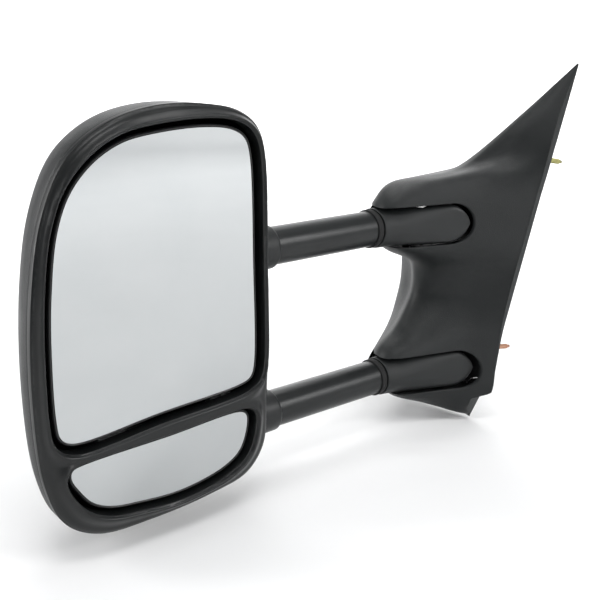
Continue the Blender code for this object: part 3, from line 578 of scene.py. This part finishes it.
def frame_points(outer, holes):
    """Points over the frame, in lines that follow its outline and its openings."""
    lines = [offset_loop(outer.tolist(), -step) for step in OUTER_STEPS]
    for hole in holes:
        lines += [offset_loop(hole.tolist(), step) for step in INNER_STEPS]
    points = np.concatenate([np.array(line) for line in lines])
    keep = on_frame(points, outer, holes)
    keep &= (distance_to(points, outer) > POINT_GAP / 2)
    keep &= (nearest_opening(points, holes) > 0.00025)
    return points[keep]


def thinned(points):
    """The points without those that lie closer than POINT_GAP to an earlier one."""
    chosen = []
    grid = {}
    for p in points:
        column, row = int(p[0] / CELL), int(p[1] / CELL)
        near = [q for i in (-1, 0, 1) for j in (-1, 0, 1)
                for q in grid.get((column + i, row + j), ())]
        if all((p[0] - q[0]) ** 2 + (p[1] - q[1]) ** 2 > POINT_GAP ** 2 for q in near):
            grid.setdefault((column, row), []).append(p)
            chosen.append(p)
    return chosen


def shade_bezel(mesh, outer, holes):
    """Give the front face the normals of its formula, so that no facet shows in it."""
    at = np.array([tuple(vertex.co) for vertex in mesh.vertices])
    slope = []
    for step in ((SLOPE_STEP, 0.0), (0.0, SLOPE_STEP)):
        ahead = bezel_depth(at[:, (0, 2)] + np.array(step), outer, holes)
        behind = bezel_depth(at[:, (0, 2)] - np.array(step), outer, holes)
        slope.append((ahead - behind) / (2 * SLOPE_STEP))
    normals = np.stack([slope[0], -np.ones(len(at)), slope[1]], axis=1)
    normals /= np.linalg.norm(normals, axis=1)[:, None]
    corners = np.zeros((len(mesh.loops), 3))
    for face in mesh.polygons:
        if face.normal.y < -0.05:
            for corner in face.loop_indices:
                corners[corner] = normals[mesh.loops[corner].vertex_index]
    mesh.normals_split_custom_set(corners)


def bezel():
    """Front frame: one roll of plastic round both glasses, with straight inner walls."""
    outer = outline_of(HEAD_OUTLINE)
    holes = [outline_of(MAIN_OUTLINE, WALL_GAP + MAIN_EASE), outline_of(SPOTTER_OPENING)]
    points, walls = [], []
    for loop in (outer, *holes):
        first, count = len(points), len(loop)
        points += [Vector(p) for p in loop]
        walls += [(first + k, first + (k + 1) % count) for k in range(count)]
    points += [Vector(p) for p in thinned(frame_points(outer, holes))]
    verts, _, faces, origin, _, _ = delaunay_2d_cdt(points, walls, [], 0, 1e-7)
    place_of = {old: new for new, olds in enumerate(origin) for old in olds}
    flat = np.array([tuple(v) for v in verts])
    middle = np.array([flat[list(f)].mean(0) for f in faces])
    depth = bezel_depth(flat, outer, holes)
    bm = bmesh.new()
    front = [bm.verts.new((x, y, z)) for (x, z), y in zip(flat, depth)]
    for face, keep_it in zip(faces, on_frame(middle, outer, holes)):
        if keep_it:
            bm.faces.new([front[k] for k in face])
    back = {}
    for wall in walls:
        a, b = (place_of[k] for k in wall)
        for c in (a, b):
            if c not in back:
                back[c] = bm.verts.new((flat[c][0], BEZEL_BACK, flat[c][1]))
        bm.faces.new((front[a], front[b], back[b], back[a]))
    bmesh.ops.triangle_fill(bm, use_beauty=True, edges=[
        e for e in bm.edges if e.is_boundary])
    obj = finished("bezel", bm, BEZEL, "head", ["head_bezel"], 50)
    shade_bezel(obj.data, outer, holes)


# The dome: Y, then the width and height of the outline there against the rim.  The first
# two stations are narrower and leave a groove at the parting line.
SHELL_CENTRE = (-0.365, 0.050)
DOME_DEPTH = 0.103
SHELL_PROFILE = (
    (BEZEL_BACK + GAP, 0.9880, 0.9920), (-0.0444, 0.9885, 0.9925),
    (-0.0440, 0.9990, 0.9995), (-0.032, 0.998, 1.0), (-0.015, 0.970, 0.997),
    (0.005, 0.910, 0.982), (0.024, 0.815, 0.937), (0.040, 0.680, 0.840),
    (0.050, 0.520, 0.700), (0.0555, 0.330, 0.470), (0.0572, 0.120, 0.170),
    (0.0575, 0.020, 0.028))


def shell():
    """Rear shell of the head: a dome on the bezel's outline, with two arm openings."""
    outline = outline_of(HEAD_OUTLINE, gap=0.0036)
    profile = np.array(SHELL_PROFILE)
    fine = spline_rows(profile[:, None, :], 5)[:, 0, :]
    cx, cz = SHELL_CENTRE

    def ring(y, sx, sz, inset, sink):
        loop = np.array(offset_loop([tuple(p) for p in outline], -inset))
        return [Vector((cx + (x - cx) * sx, y - sink, cz + (z - cz) * sz)) for x, z in loop]

    outer = [ring(y, sx, sz, 0.0, 0.0) for y, sx, sz in fine]
    inner = [ring(y, sx, sz, SHELL_T, SHELL_T * max(0.0, (y - BEZEL_BACK) / DOME_DEPTH))
             for y, sx, sz in fine[::3]]
    bm = bmesh.new()
    loft(bm, inner[::-1] + outer)
    obj = finished("rear_shell", bm, SHELL, "head", ["head_rear_shell"])
    for z in ARM_Z:
        tool = bmesh.new()
        rod(tool, ((-0.351, 0.0224), (-0.300, 0.0224)), (0, 0, z), count=64)
        cut(obj, tool)
    even_normals(obj)


def mirror(name, corners):
    """Glass with a ground edge, in a holder whose lip stands round it."""
    outline = outline_of(corners, gap=0.0026, rounds=2)
    back = GLASS_FRONT + GLASS_T

    def ring(offset, y):
        return ring_xz(offset_loop([tuple(p) for p in outline], offset), y)

    bm = bmesh.new()
    loft(bm, [ring(-0.0002, GLASS_FRONT), ring(0.0, GLASS_FRONT + 0.0004), ring(0.0, back)])
    finished(name + "_mirror_face", bm, GLASS, name + "_mirror",
             [name + "_glass"], 25)

    bm = bmesh.new()
    lip = GLASS_FRONT - 0.0004
    loft(bm, [ring(GAP, back + GAP), ring(GAP, lip + 0.0004), ring(0.0008, lip + 0.0001),
              ring(0.0013, lip), ring(0.0019, lip + 0.0003), ring(0.0023, lip + 0.0010),
              ring(0.0024, lip + 0.0018), ring(0.0024, back + 0.0022),
              ring(0.0018, back + 0.0028), ring(-0.005, back + 0.0028),
              ring(-0.005, back + GAP)], closed=True)
    x, z = BALL_AT[name]
    obj = finished(name + "_mirror_holder", bm, HOLDER, name + "_mirror",
                   [name + "_glass_holder"])
    plate = bmesh.new()
    loft(plate, [ring(-0.004, back + GAP), ring(-0.004, back + 0.0026)])
    cut(obj, plate, "UNION")
    boss = bmesh.new()
    loft(boss, [circle_y(radius, x, y, z, 40) for y, radius in (
        (back + 0.0010, 0.0150), (back + 0.0028, 0.0128), (-0.0440, 0.0120),
        (-0.0425, 0.0118), (-0.0421, 0.0112))])
    cut(obj, boss, "UNION")
    ball = bmesh.new()
    bmesh.ops.create_uvsphere(ball, u_segments=32, v_segments=20, radius=BALL_R + GAP,
                              matrix=Matrix.Translation((x, PIVOT_BALL_Y, z)))
    cut(obj, ball)
    even_normals(obj)


# ---- arms -----------------------------------------------------------------------------
def arms():
    for i, name in enumerate(NAMES):
        z, x0 = ARM_Z[i], KNUCKLE_X[i]
        inner = x0 + 0.027
        bm = bmesh.new()
        turned(bm, ((TUBE_OUT, TUBE_R - 0.0004), (TUBE_OUT + 0.0004, TUBE_R),
                    (-0.3300, TUBE_R), (-0.2600, TUBE_R), (-0.2000, TUBE_R),
                    (inner, TUBE_R), (inner, TUBE_BORE), (TUBE_OUT, TUBE_BORE)),
               (0, 0, z), count=96)
        finished(name + "_arm_tube", bm, TUBE, "arms", [name + "_tube"])

        bm = bmesh.new()
        end = COLLAR_END
        turned(bm, ((-0.3516, 0.0220), (-0.3100, 0.0220), (-0.2950, 0.0219),
                    (end - 0.0030, 0.0217), (end - 0.0018, 0.0215), (end - 0.0008, 0.0210),
                    (end - 0.0002, 0.0204), (end, 0.0199), (end - 0.0004, 0.0195),
                    (-0.3516, 0.0195)), (0, 0, z), count=96)
        finished(name + "_head_collar", bm, COLLAR, "head",
                 [name + "_collar"])

        bm = bmesh.new()
        start = x0 - RING_LENGTH
        turned(bm, ((start, 0.0198), (start + 0.0003, 0.0204), (start + 0.0009, 0.0207),
                    (x0 - 0.0022, 0.0207), (x0 - 0.0015, 0.0203), (x0 - 0.0012, 0.0197),
                    (x0 - GAP, 0.0197), (x0 - GAP, 0.0195), (start, 0.0195)),
               (0, 0, z), count=96)
        finished(name + "_seal_ring", bm, RUBBER, "arms", [name + "_arm_ring"])
        knuckle(i)


def tongue_section(x, i, count=24, swell=0.0):
    """Section of a knuckle at x: round at its outboard end, flat-faced along the tongue."""
    x0, x1, z0 = KNUCKLE_X[i], TONGUE_X[i], ARM_Z[i]
    along = (x - x0) / (x1 - x0)
    rear = -TONGUE_R - TONGUE_SLOPE * (x - x0)
    front = TONGUE_R * (1 - along) ** 0.5 - 0.030 * along
    centre_x = x1 - TONGUE_R
    half = TONGUE_R
    if x > centre_x:
        half = math.sqrt(max(TONGUE_R ** 2 - (x - centre_x) ** 2, 1e-8))
    power = 2.0 + 3.5 * min(1.0, along * 1.3)
    cy, depth = (rear + front) / 2, (front - rear) / 2
    cz = z0 + TONGUE_RISE[i] * along
    points = []
    for k in range(count):
        a = 2 * math.pi * (k + 0.5) / count
        c, s = math.cos(a), math.sin(a)
        ey = math.copysign(abs(c) ** (2 / power), c)
        ez = math.copysign(abs(s) ** (2 / power), s)
        points.append(Vector((x, cy + (depth + swell) * ey, cz + (half + swell) * ez)))
    return points


CREST_SINK = 0.0055       # how far the tongues' edges lie behind their rounded crest


def crested(points, x, i):
    """The section with its rear face rounded off on both sides of a fading crest."""
    x0, x1 = KNUCKLE_X[i], TONGUE_X[i]
    along = (x - x0) / (x1 - x0)
    fade = CREST_SINK * max(0.0, 1 - along / 0.78) * min(1.0, along * 6)
    centre_y = sum(p.y for p in points) / len(points)
    centre_z = sum(p.z for p in points) / len(points)
    for p in points:
        off = min(1.0, abs(p.z - centre_z) / TONGUE_R)
        if p.y < centre_y:
            p.y = min(centre_y, p.y + fade * off * off * (3 - 2 * off))
    return points


def knuckle(i):
    """Moulding round the tube's inner end: round at the arm, a flat tongue at the pivot."""
    name, z = NAMES[i], ARM_Z[i]
    px, py = PIVOT
    x0, x1 = KNUCKLE_X[i], TONGUE_X[i]
    middle = x1 - TONGUE_R
    stations = [x0 + (middle - x0) * k / 18 for k in range(18)]
    stations += [middle + TONGUE_R * math.sin(math.pi / 2 * k / 14) for k in range(14)]
    stations.append(x1 - 0.00003)
    rings = [tongue_section(x0, i, 72, -0.0006), tongue_section(x0 + 0.0002, i, 72, -0.0002)]
    rings += [crested(tongue_section(x, i, 72), x, i) for x in [x0 + 0.0007] + stations[1:]]
    bm = bmesh.new()
    loft(bm, rings)
    obj = finished(name + "_knuckle_body", bm, KNUCKLE, "arms",
                   [name + "_knuckle"], 50)
    tool = bmesh.new()
    rod(tool, ((x0 - 0.01, TUBE_R + GAP), (x0 + 0.0276, TUBE_R + GAP)), (0, 0, z), count=96)
    cut(obj, tool)
    tool = bmesh.new()
    rod(tool, ((z - 0.018 if i else z - 0.05, PIN_R + GAP), (z + 0.05, PIN_R + GAP)),
        (px, py, 0), axis="z", count=48)
    cut(obj, tool)
    if i == 0:
        tool = bmesh.new()
        rod(tool, ((z - 0.004, 0.0108), (z + 0.05, 0.0108)), (px, py, 0), axis="z", count=48)
        cut(obj, tool)
    even_normals(obj, 45)


# ---- base -----------------------------------------------------------------------------
def plane_x(z):
    """X of the door face at height z."""
    return z * math.tan(TUMBLEHOME)


def rim(y, z):
    return (plane_x(z) - GASKET_T - GAP, y, z)


def ridge(y, z, strip):
    return (plane_x(z) - GASKET_T - strip, y, z)


def cover_cage():
    """Control points of the cover's outer skin, by rows from the bottom to the tip.

    Each row runs from the rear rim over the rear edge, the rear face, the outboard nose
    and the front face to the front rim.
    """
    return (
        (rim(-0.0530, -0.1465), rim(-0.0520, -0.1465), rim(-0.044, -0.1450),
         rim(-0.028, -0.1405), rim(-0.005, -0.134), rim(0.018, -0.127),
         rim(0.040, -0.119), rim(0.058, -0.112)),
        (rim(-0.0600, -0.136), ridge(-0.0600, -0.136, 0.003), (-0.050, -0.048, -0.135),
         (-0.078, -0.018, -0.126), (-0.088, 0.002, -0.121), (-0.078, 0.020, -0.118),
         (-0.050, 0.045, -0.114), rim(0.064, -0.108)),
        (rim(-0.0770, -0.110), ridge(-0.0770, -0.110, 0.003), (-0.056, -0.052, -0.111),
         (-0.108, -0.024, -0.111), (-0.114, 0.001, -0.111), (-0.098, 0.022, -0.109),
         (-0.056, 0.052, -0.107), rim(0.073, -0.104)),
        (rim(-0.0770, -0.084), ridge(-0.0770, -0.084, 0.003), (-0.060, -0.050, -0.084),
         (-0.130, -0.023, -0.084), (-0.137, 0.001, -0.084), (-0.125, 0.025, -0.084),
         (-0.060, 0.058, -0.084), rim(0.079, -0.084)),
        (rim(-0.0772, -0.058), ridge(-0.0772, -0.058, 0.004), (-0.054, -0.051, -0.058),
         (-0.119, -0.023, -0.058), (-0.127, 0.001, -0.055), (-0.110, 0.023, -0.057),
         (-0.056, 0.060, -0.057), rim(0.083, -0.056)),
        (rim(-0.078, -0.036), ridge(-0.078, -0.036, 0.006), (-0.044, -0.055, -0.036),
         (-0.091, -0.023, -0.038), (-0.099, 0.003, -0.036), (-0.083, 0.025, -0.038),
         (-0.048, 0.060, -0.034), rim(0.085, -0.032)),
        (rim(-0.082, 0.000), ridge(-0.082, 0.000, 0.009), (-0.034, -0.052, 0.000),
         (-0.064, -0.017, 0.000), (-0.073, 0.005, 0.000), (-0.057, 0.027, 0.000),
         (-0.038, 0.060, 0.000), rim(0.086, 0.000)),
        (rim(-0.086, 0.036), ridge(-0.086, 0.036, 0.010), (-0.036, -0.055, 0.036),
         (-0.072, -0.024, 0.038), (-0.077, 0.004, 0.037), (-0.061, 0.026, 0.038),
         (-0.038, 0.060, 0.036), rim(0.086, 0.035)),
        (rim(-0.089, 0.061), ridge(-0.089, 0.061, 0.010), (-0.058, -0.053, 0.061),
         (-0.117, -0.025, 0.063), (-0.123, 0.001, 0.060), (-0.105, 0.023, 0.062),
         (-0.048, 0.060, 0.060), rim(0.084, 0.058)),
        (rim(-0.092, 0.088), ridge(-0.092, 0.088, 0.010), (-0.062, -0.052, 0.088),
         (-0.139, -0.022, 0.088), (-0.145, 0.001, 0.088), (-0.131, 0.025, 0.088),
         (-0.046, 0.054, 0.088), rim(0.070, 0.084)),
        (rim(-0.095, 0.113), ridge(-0.095, 0.113, 0.010), (-0.054, -0.056, 0.114),
         (-0.131, -0.024, 0.115), (-0.137, 0.001, 0.117), (-0.114, 0.022, 0.115),
         (-0.045, 0.042, 0.113), rim(0.044, 0.110)),
        (rim(-0.099, 0.141), ridge(-0.099, 0.141, 0.010), (-0.028, -0.062, 0.139),
         (-0.096, -0.029, 0.134), (-0.110, 0.000, 0.134), (-0.090, 0.016, 0.131),
         (-0.034, 0.024, 0.131), rim(0.020, 0.132)),
        (rim(-0.102, 0.166), ridge(-0.102, 0.166, 0.010), (0.002, -0.070, 0.161),
         (-0.018, -0.042, 0.150), (-0.030, -0.024, 0.145), (-0.024, -0.010, 0.143),
         (0.002, -0.008, 0.147), rim(-0.010, 0.152)),
        (rim(-0.107, 0.206), ridge(-0.107, 0.206, 0.010), (0.020, -0.092, 0.207),
         (0.018, -0.080, 0.206), (0.018, -0.070, 0.205), (0.020, -0.063, 0.204),
         (0.025, -0.060, 0.2035), rim(-0.0590, 0.2030)),
        (rim(-0.1128, 0.2550), rim(-0.1125, 0.2556), rim(-0.1120, 0.2560),
         rim(-0.1115, 0.2562), rim(-0.1110, 0.2562), rim(-0.1105, 0.2559),
         rim(-0.1100, 0.2554), rim(-0.1096, 0.2548)))


def spline_rows(rows, steps):
    """Cardinal spline through each column of the grid, with the given steps per span."""
    grid = np.array(rows, float)
    count = len(grid)
    slopes = np.empty_like(grid)
    slopes[1:-1] = 0.42 * (grid[2:] - grid[:-2])
    slopes[0] = grid[1] - grid[0]
    slopes[-1] = grid[-1] - grid[-2]
    result = []
    for i in range(count - 1):
        for k in range(steps):
            t = k / steps
            h00, h10 = 2 * t ** 3 - 3 * t ** 2 + 1, t ** 3 - 2 * t ** 2 + t
            h01, h11 = -2 * t ** 3 + 3 * t ** 2, t ** 3 - t ** 2
            result.append(h00 * grid[i] + h10 * slopes[i] + h01 * grid[i + 1]
                          + h11 * slopes[i + 1])
    result.append(grid[-1])
    return np.array(result)


def cover_skin(row_steps, column_steps):
    cage = np.array(cover_cage())
    share = np.full((len(cage), 1), EDGE_CREASE)
    share[[0, -1]] = 0.5
    crease = cage[:, 1] + share * (cage[:, 2] - cage[:, 1])
    grid = spline_rows(np.insert(cage, 2, crease, axis=1), row_steps)
    return spline_rows(grid.transpose(1, 0, 2), column_steps).transpose(1, 0, 2)


def skin_normals(skin):
    """Unit normals of the skin, pointing out of the cover."""
    along = np.gradient(skin, axis=1)
    up = np.gradient(skin, axis=0)
    normals = np.cross(up, along)
    normals /= np.linalg.norm(normals, axis=2)[..., None]
    middle = (skin.shape[0] // 2, skin.shape[1] // 2)
    if normals[middle][0] > 0:
        normals = -normals
    return normals


DOOR = Matrix.Rotation(TUMBLEHOME, 4, "Y")      # the door face's leaning frame
SLOT_LIP = 0.0013                               # rounding of the slots' edges
ROWS, COLUMNS = 6, 6                            # steps between the cage's points


def cavity():
    """The hollow inside the cover, running out through the open door side."""
    skin = cover_skin(ROWS, COLUMNS)
    inner = skin - skin_normals(skin) * COVER_T
    bm = bmesh.new()
    rings = []
    for row in inner[2 * ROWS:len(skin) - 2 * ROWS + 1]:
        rear, front, z = row[COLUMNS], row[-1], row[0][2]
        path = [(plane_x(z) + 0.010, rear[1] + 0.0012, z), (rear[0], rear[1] + 0.0012, z)]
        path += [tuple(p) for p in row[2 * COLUMNS + 2:-1]]
        path += [tuple(front), (plane_x(front[2]) + 0.010, front[1], front[2])]
        rings.append([Vector(p) for p in path])
    loft(bm, rings)
    return bm


def slot(i, tree):
    """Slot that the tongue lies in, whose edge rolls over where it meets the skin."""
    z0, rise = ARM_Z[i], TONGUE_RISE[i]
    half = TONGUE_R + 0.0010
    end = TONGUE_X[i] - TONGUE_R + 0.0012
    out = KNUCKLE_X[i] - 0.030
    line = [(out + (end - out) * k / 30, z0 - half + rise * k / 30) for k in range(30)]
    line += [(end + half * math.cos(a), z0 + rise + half * math.sin(a))
             for a in (-math.pi / 2 + math.pi * k / 28 for k in range(29))]
    line += [(end + (out - end) * k / 30, z0 + half + rise * (1 - k / 30))
             for k in range(1, 31)]

    def skin_y(loop, base=None):
        found = []
        for k, (x, z) in enumerate(loop):
            hit = tree.ray_cast(Vector((x, -0.25, z)), Vector((0, 1, 0)))[0]
            if base and (hit is None or abs(hit.y - base[k]) > SLOT_LIP):
                found.append(base[k])
            else:
                found.append(hit.y if hit and hit.y < -0.012 else None)
        known = [k for k, y in enumerate(found) if y is not None]
        return [found[min(known, key=lambda m: abs(m - k))] for k in range(len(found))]

    level = skin_y(line)

    def ring(offset, sink):
        loop = offset_loop(line, offset)
        return [Vector((x, y + sink, z)) for (x, z), y in zip(loop, skin_y(loop, level))]

    rings = [ring_xz(line, 0.0228), ring(0.0, SLOT_LIP * 1.5)]
    for k in range(1, 6):
        a = math.pi / 2 * k / 5
        rings.append(ring(SLOT_LIP * (1 - math.cos(a)), SLOT_LIP * (1 - math.sin(a))))
    rings.append(ring(SLOT_LIP * 1.25, -0.0003))
    rings.append(ring(SLOT_LIP * 2.2, -0.0200))
    bm = bmesh.new()
    loft(bm, rings)
    return bm


def cover():
    """The base cover: a thin skin drawn out into two shrouds, with a pointed sail."""
    skin = cover_skin(ROWS, COLUMNS)
    bm = bmesh.new()
    loft(bm, [[Vector(p) for p in row] for row in skin])
    bmesh.ops.recalc_face_normals(bm, faces=bm.faces)
    tree = BVHTree.FromBMesh(bm)
    obj = finished("cover", bm, COVER, "base", ["base_cover"])
    cut(obj, cavity())
    tool = bmesh.new()
    notch = rounded_loop(NOTCH, 5)
    loft(tool, [[Vector((x, y, z)) for y, z in notch] for x in (-0.120, 0.030)])
    # The skin and this tool both cross themselves, and a plain cut leaves nothing.
    cut(obj, tool, crossing=True)
    cut(obj, slot(0, tree))
    bracket = offset_loop(rounded_loop(BRACKET_OUTLINE, 6), 0.0010)
    tool = bmesh.new()
    loft(tool, [[Vector((x, y, z)) for y, z in bracket]
                for x in (-BRACKET_T - 0.0010, 0.020)])
    cut(obj, tool, matrix=DOOR)
    cut(obj, slot(1, tree))
    even_normals(obj, 32)


def stud(name, look):
    """Collared stud with a rolled thread and a dog point."""
    y, z = STUDS[name]
    count, pitch, radius = 28, 0.00100, 0.0029
    start, stop = -BRACKET_T - GAP, 0.0315
    rings = []

    def ring(x, r, wobble=0.0):
        points = []
        for k in range(count):
            phase = (x / pitch - k / count) % 1.0
            tooth = abs(2 * phase - 1)
            a = 2 * math.pi * k / count
            here = r - wobble * tooth
            points.append(Vector((x, y + here * math.cos(a), z + here * math.sin(a))))
        return points

    rings += [ring(start - 0.0028, 0.0062), ring(start - 0.0024, 0.0066),
              ring(start - 0.0003, 0.0066), ring(start, 0.0064), ring(start, radius)]
    steps = int((stop - 0.0010) / (pitch / 8))
    for k in range(steps):
        x = 0.0010 + (stop - 0.0010) * k / steps
        fade = min(1.0, k / 8, (steps - k) / 8)
        rings.append(ring(x, radius, 0.00052 * fade))
    rings += [ring(stop, 0.0027), ring(stop + 0.0008, 0.0020), ring(0.0362, 0.0019),
              ring(0.0369, 0.0015), ring(0.0370, 0.0009)]
    bm = bmesh.new()
    loft(bm, rings)
    bm.transform(DOOR)
    finished(name + "_door_stud", bm, look, "base", [name + "_stud"], 60)


# CAD nodes that are shown as they are, with a finished material.
KEPT = (
    (CAST, ("head_carrier",)),
    # The bracket's dark colour is partly painted shade for the slot gaps round the tongues.
    (BRACKET_COAT_AND_SHADE, ("mount_bracket",)),
    (RUBBER, ("door_gasket", "upper_end_stop", "lower_end_stop")),
    (NYLON, ("upper_inner_bushing", "upper_outer_bushing", "lower_inner_bushing",
             "lower_outer_bushing", "main_pivot_ball", "spotter_pivot_ball")),
    (PLATED, ("upper_pivot_pin", "lower_pivot_pin", "fold_spring", "detent_ring",
              "upper_tension_pad", "lower_tension_pad", "carrier_screw_1",
              "carrier_screw_2", "carrier_screw_3", "carrier_screw_4", "cover_screw_1",
              "cover_screw_2", "cover_screw_3")))


def dress_kept_nodes():
    for look, names in KEPT:
        for name in names:
            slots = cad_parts[name].data.materials
            slots.clear()
            slots.append(look)


# ---- stage ----------------------------------------------------------------------------
VIEW_TURN = math.radians(-38.9)     # the camera looks this far round from +Y
FLOOR_HALF = 9.0                    # half width of the floor, and its reach in front
FLOOR_BEND = 3.0                    # radius of the sweep up behind the object
BEND_START = 1.2
CENTRE = Vector((-0.27, 0.0, 0.05))
# Name, place, the point that it faces, width and height, watts.
LIGHTS = (
    ("key_softbox", (-0.7, -0.8, 2.1), CENTRE, (1.2, 0.5), 14.0),
    ("top_strip", (0.1, 0.2, 1.7), CENTRE, (1.8, 0.3), 9.0),
    ("side_fill", (1.1, -2.0, 1.0), CENTRE, (0.8, 0.8), 14.0),
    ("front_strip", (-0.45, -2.2, 0.5), CENTRE, (0.30, 1.5), 12.0),
    ("rear_rim", (-1.9, 1.2, 0.7), CENTRE, (0.5, 1.6), 26.0),
    ("backdrop_wash", (1.0, 1.6, 2.6), Vector((2.4, 3.2, 0.6)), (1.6, 1.6), 140.0),
    ("floor_wash", (1.9, -3.1, 2.0), Vector((1.9, -3.1, 0.0)), (1.6, 1.6), 62.0))


def paper_floor():
    """A pale floor that sweeps up behind the object."""
    floor_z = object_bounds()[0].z - 0.002
    profile = [(-FLOOR_HALF, floor_z), (BEND_START, floor_z)]
    for k in range(1, 33):
        a = math.pi / 2 * k / 32
        profile.append((BEND_START + FLOOR_BEND * math.sin(a),
                        floor_z + FLOOR_BEND * (1 - math.cos(a))))
    profile.append((BEND_START + FLOOR_BEND, floor_z + 2 * FLOOR_BEND))
    turn = Matrix.Rotation(VIEW_TURN, 4, "Z")
    bm = bmesh.new()
    rows = [[bm.verts.new(turn @ Vector((side, along, up)))
             for side in (-FLOOR_HALF, FLOOR_HALF)] for along, up in profile]
    for a, b in zip(rows, rows[1:]):
        bm.faces.new((a[0], a[1], b[1], b[0]))
    mesh = bpy.data.meshes.new("studio_floor")
    bm.to_mesh(mesh)
    bm.free()
    mesh.shade_smooth()
    floor = bpy.data.objects.new("studio_floor", mesh)
    bpy.context.scene.collection.objects.link(floor)
    look = Look("floor_paper", specular=0.1)
    shade = look.ranged(look.noise(3.0, 2.0), 0.0, 1.0)
    look.colour(look.mix(shade, (0.90, 0.90, 0.90), (0.93, 0.93, 0.93)))
    look.shader.inputs["Roughness"].default_value = 0.9
    floor.data.materials.append(look.mat)


def daylight():
    """A faint even sky and the soft lights."""
    world = bpy.data.worlds.new("studio")
    bpy.context.scene.world = world
    world.use_nodes = True
    sky = world.node_tree.nodes["Background"]
    sky.inputs["Color"].default_value = (0.96, 0.98, 1.0, 1.0)
    sky.inputs["Strength"].default_value = 0.36
    for name, place, aim, size, power in LIGHTS:
        light = bpy.data.lights.new(name, "AREA")
        light.shape = "RECTANGLE"
        light.size, light.size_y = size
        light.energy = power
        lamp = bpy.data.objects.new(name, light)
        lamp.location = place
        lamp.rotation_euler = (aim - Vector(place)).to_track_quat("-Z", "Y").to_euler()
        bpy.context.scene.collection.objects.link(lamp)


def camera():
    data = bpy.data.cameras.new("camera")
    data.lens = 54.0
    data.sensor_width = 36.0
    viewer = bpy.data.objects.new("camera", data)
    viewer.location = (-0.800, -0.68917, 0.28296)
    viewer.rotation_euler = (math.radians(73.7), 0, VIEW_TURN)
    bpy.context.scene.collection.objects.link(viewer)
    bpy.context.scene.camera = viewer
    bpy.context.scene.view_settings.view_transform = "Standard"


bezel()
shell()
mirror("main", MAIN_OUTLINE)
mirror("spotter", SPOTTER_OUTLINE)
arms()
cover()
stud("upper", YELLOW_ZINC)
stud("lower", COPPER_PLATE)
stud("front", YELLOW_ZINC)
dress_kept_nodes()
paper_floor()
daylight()
camera()
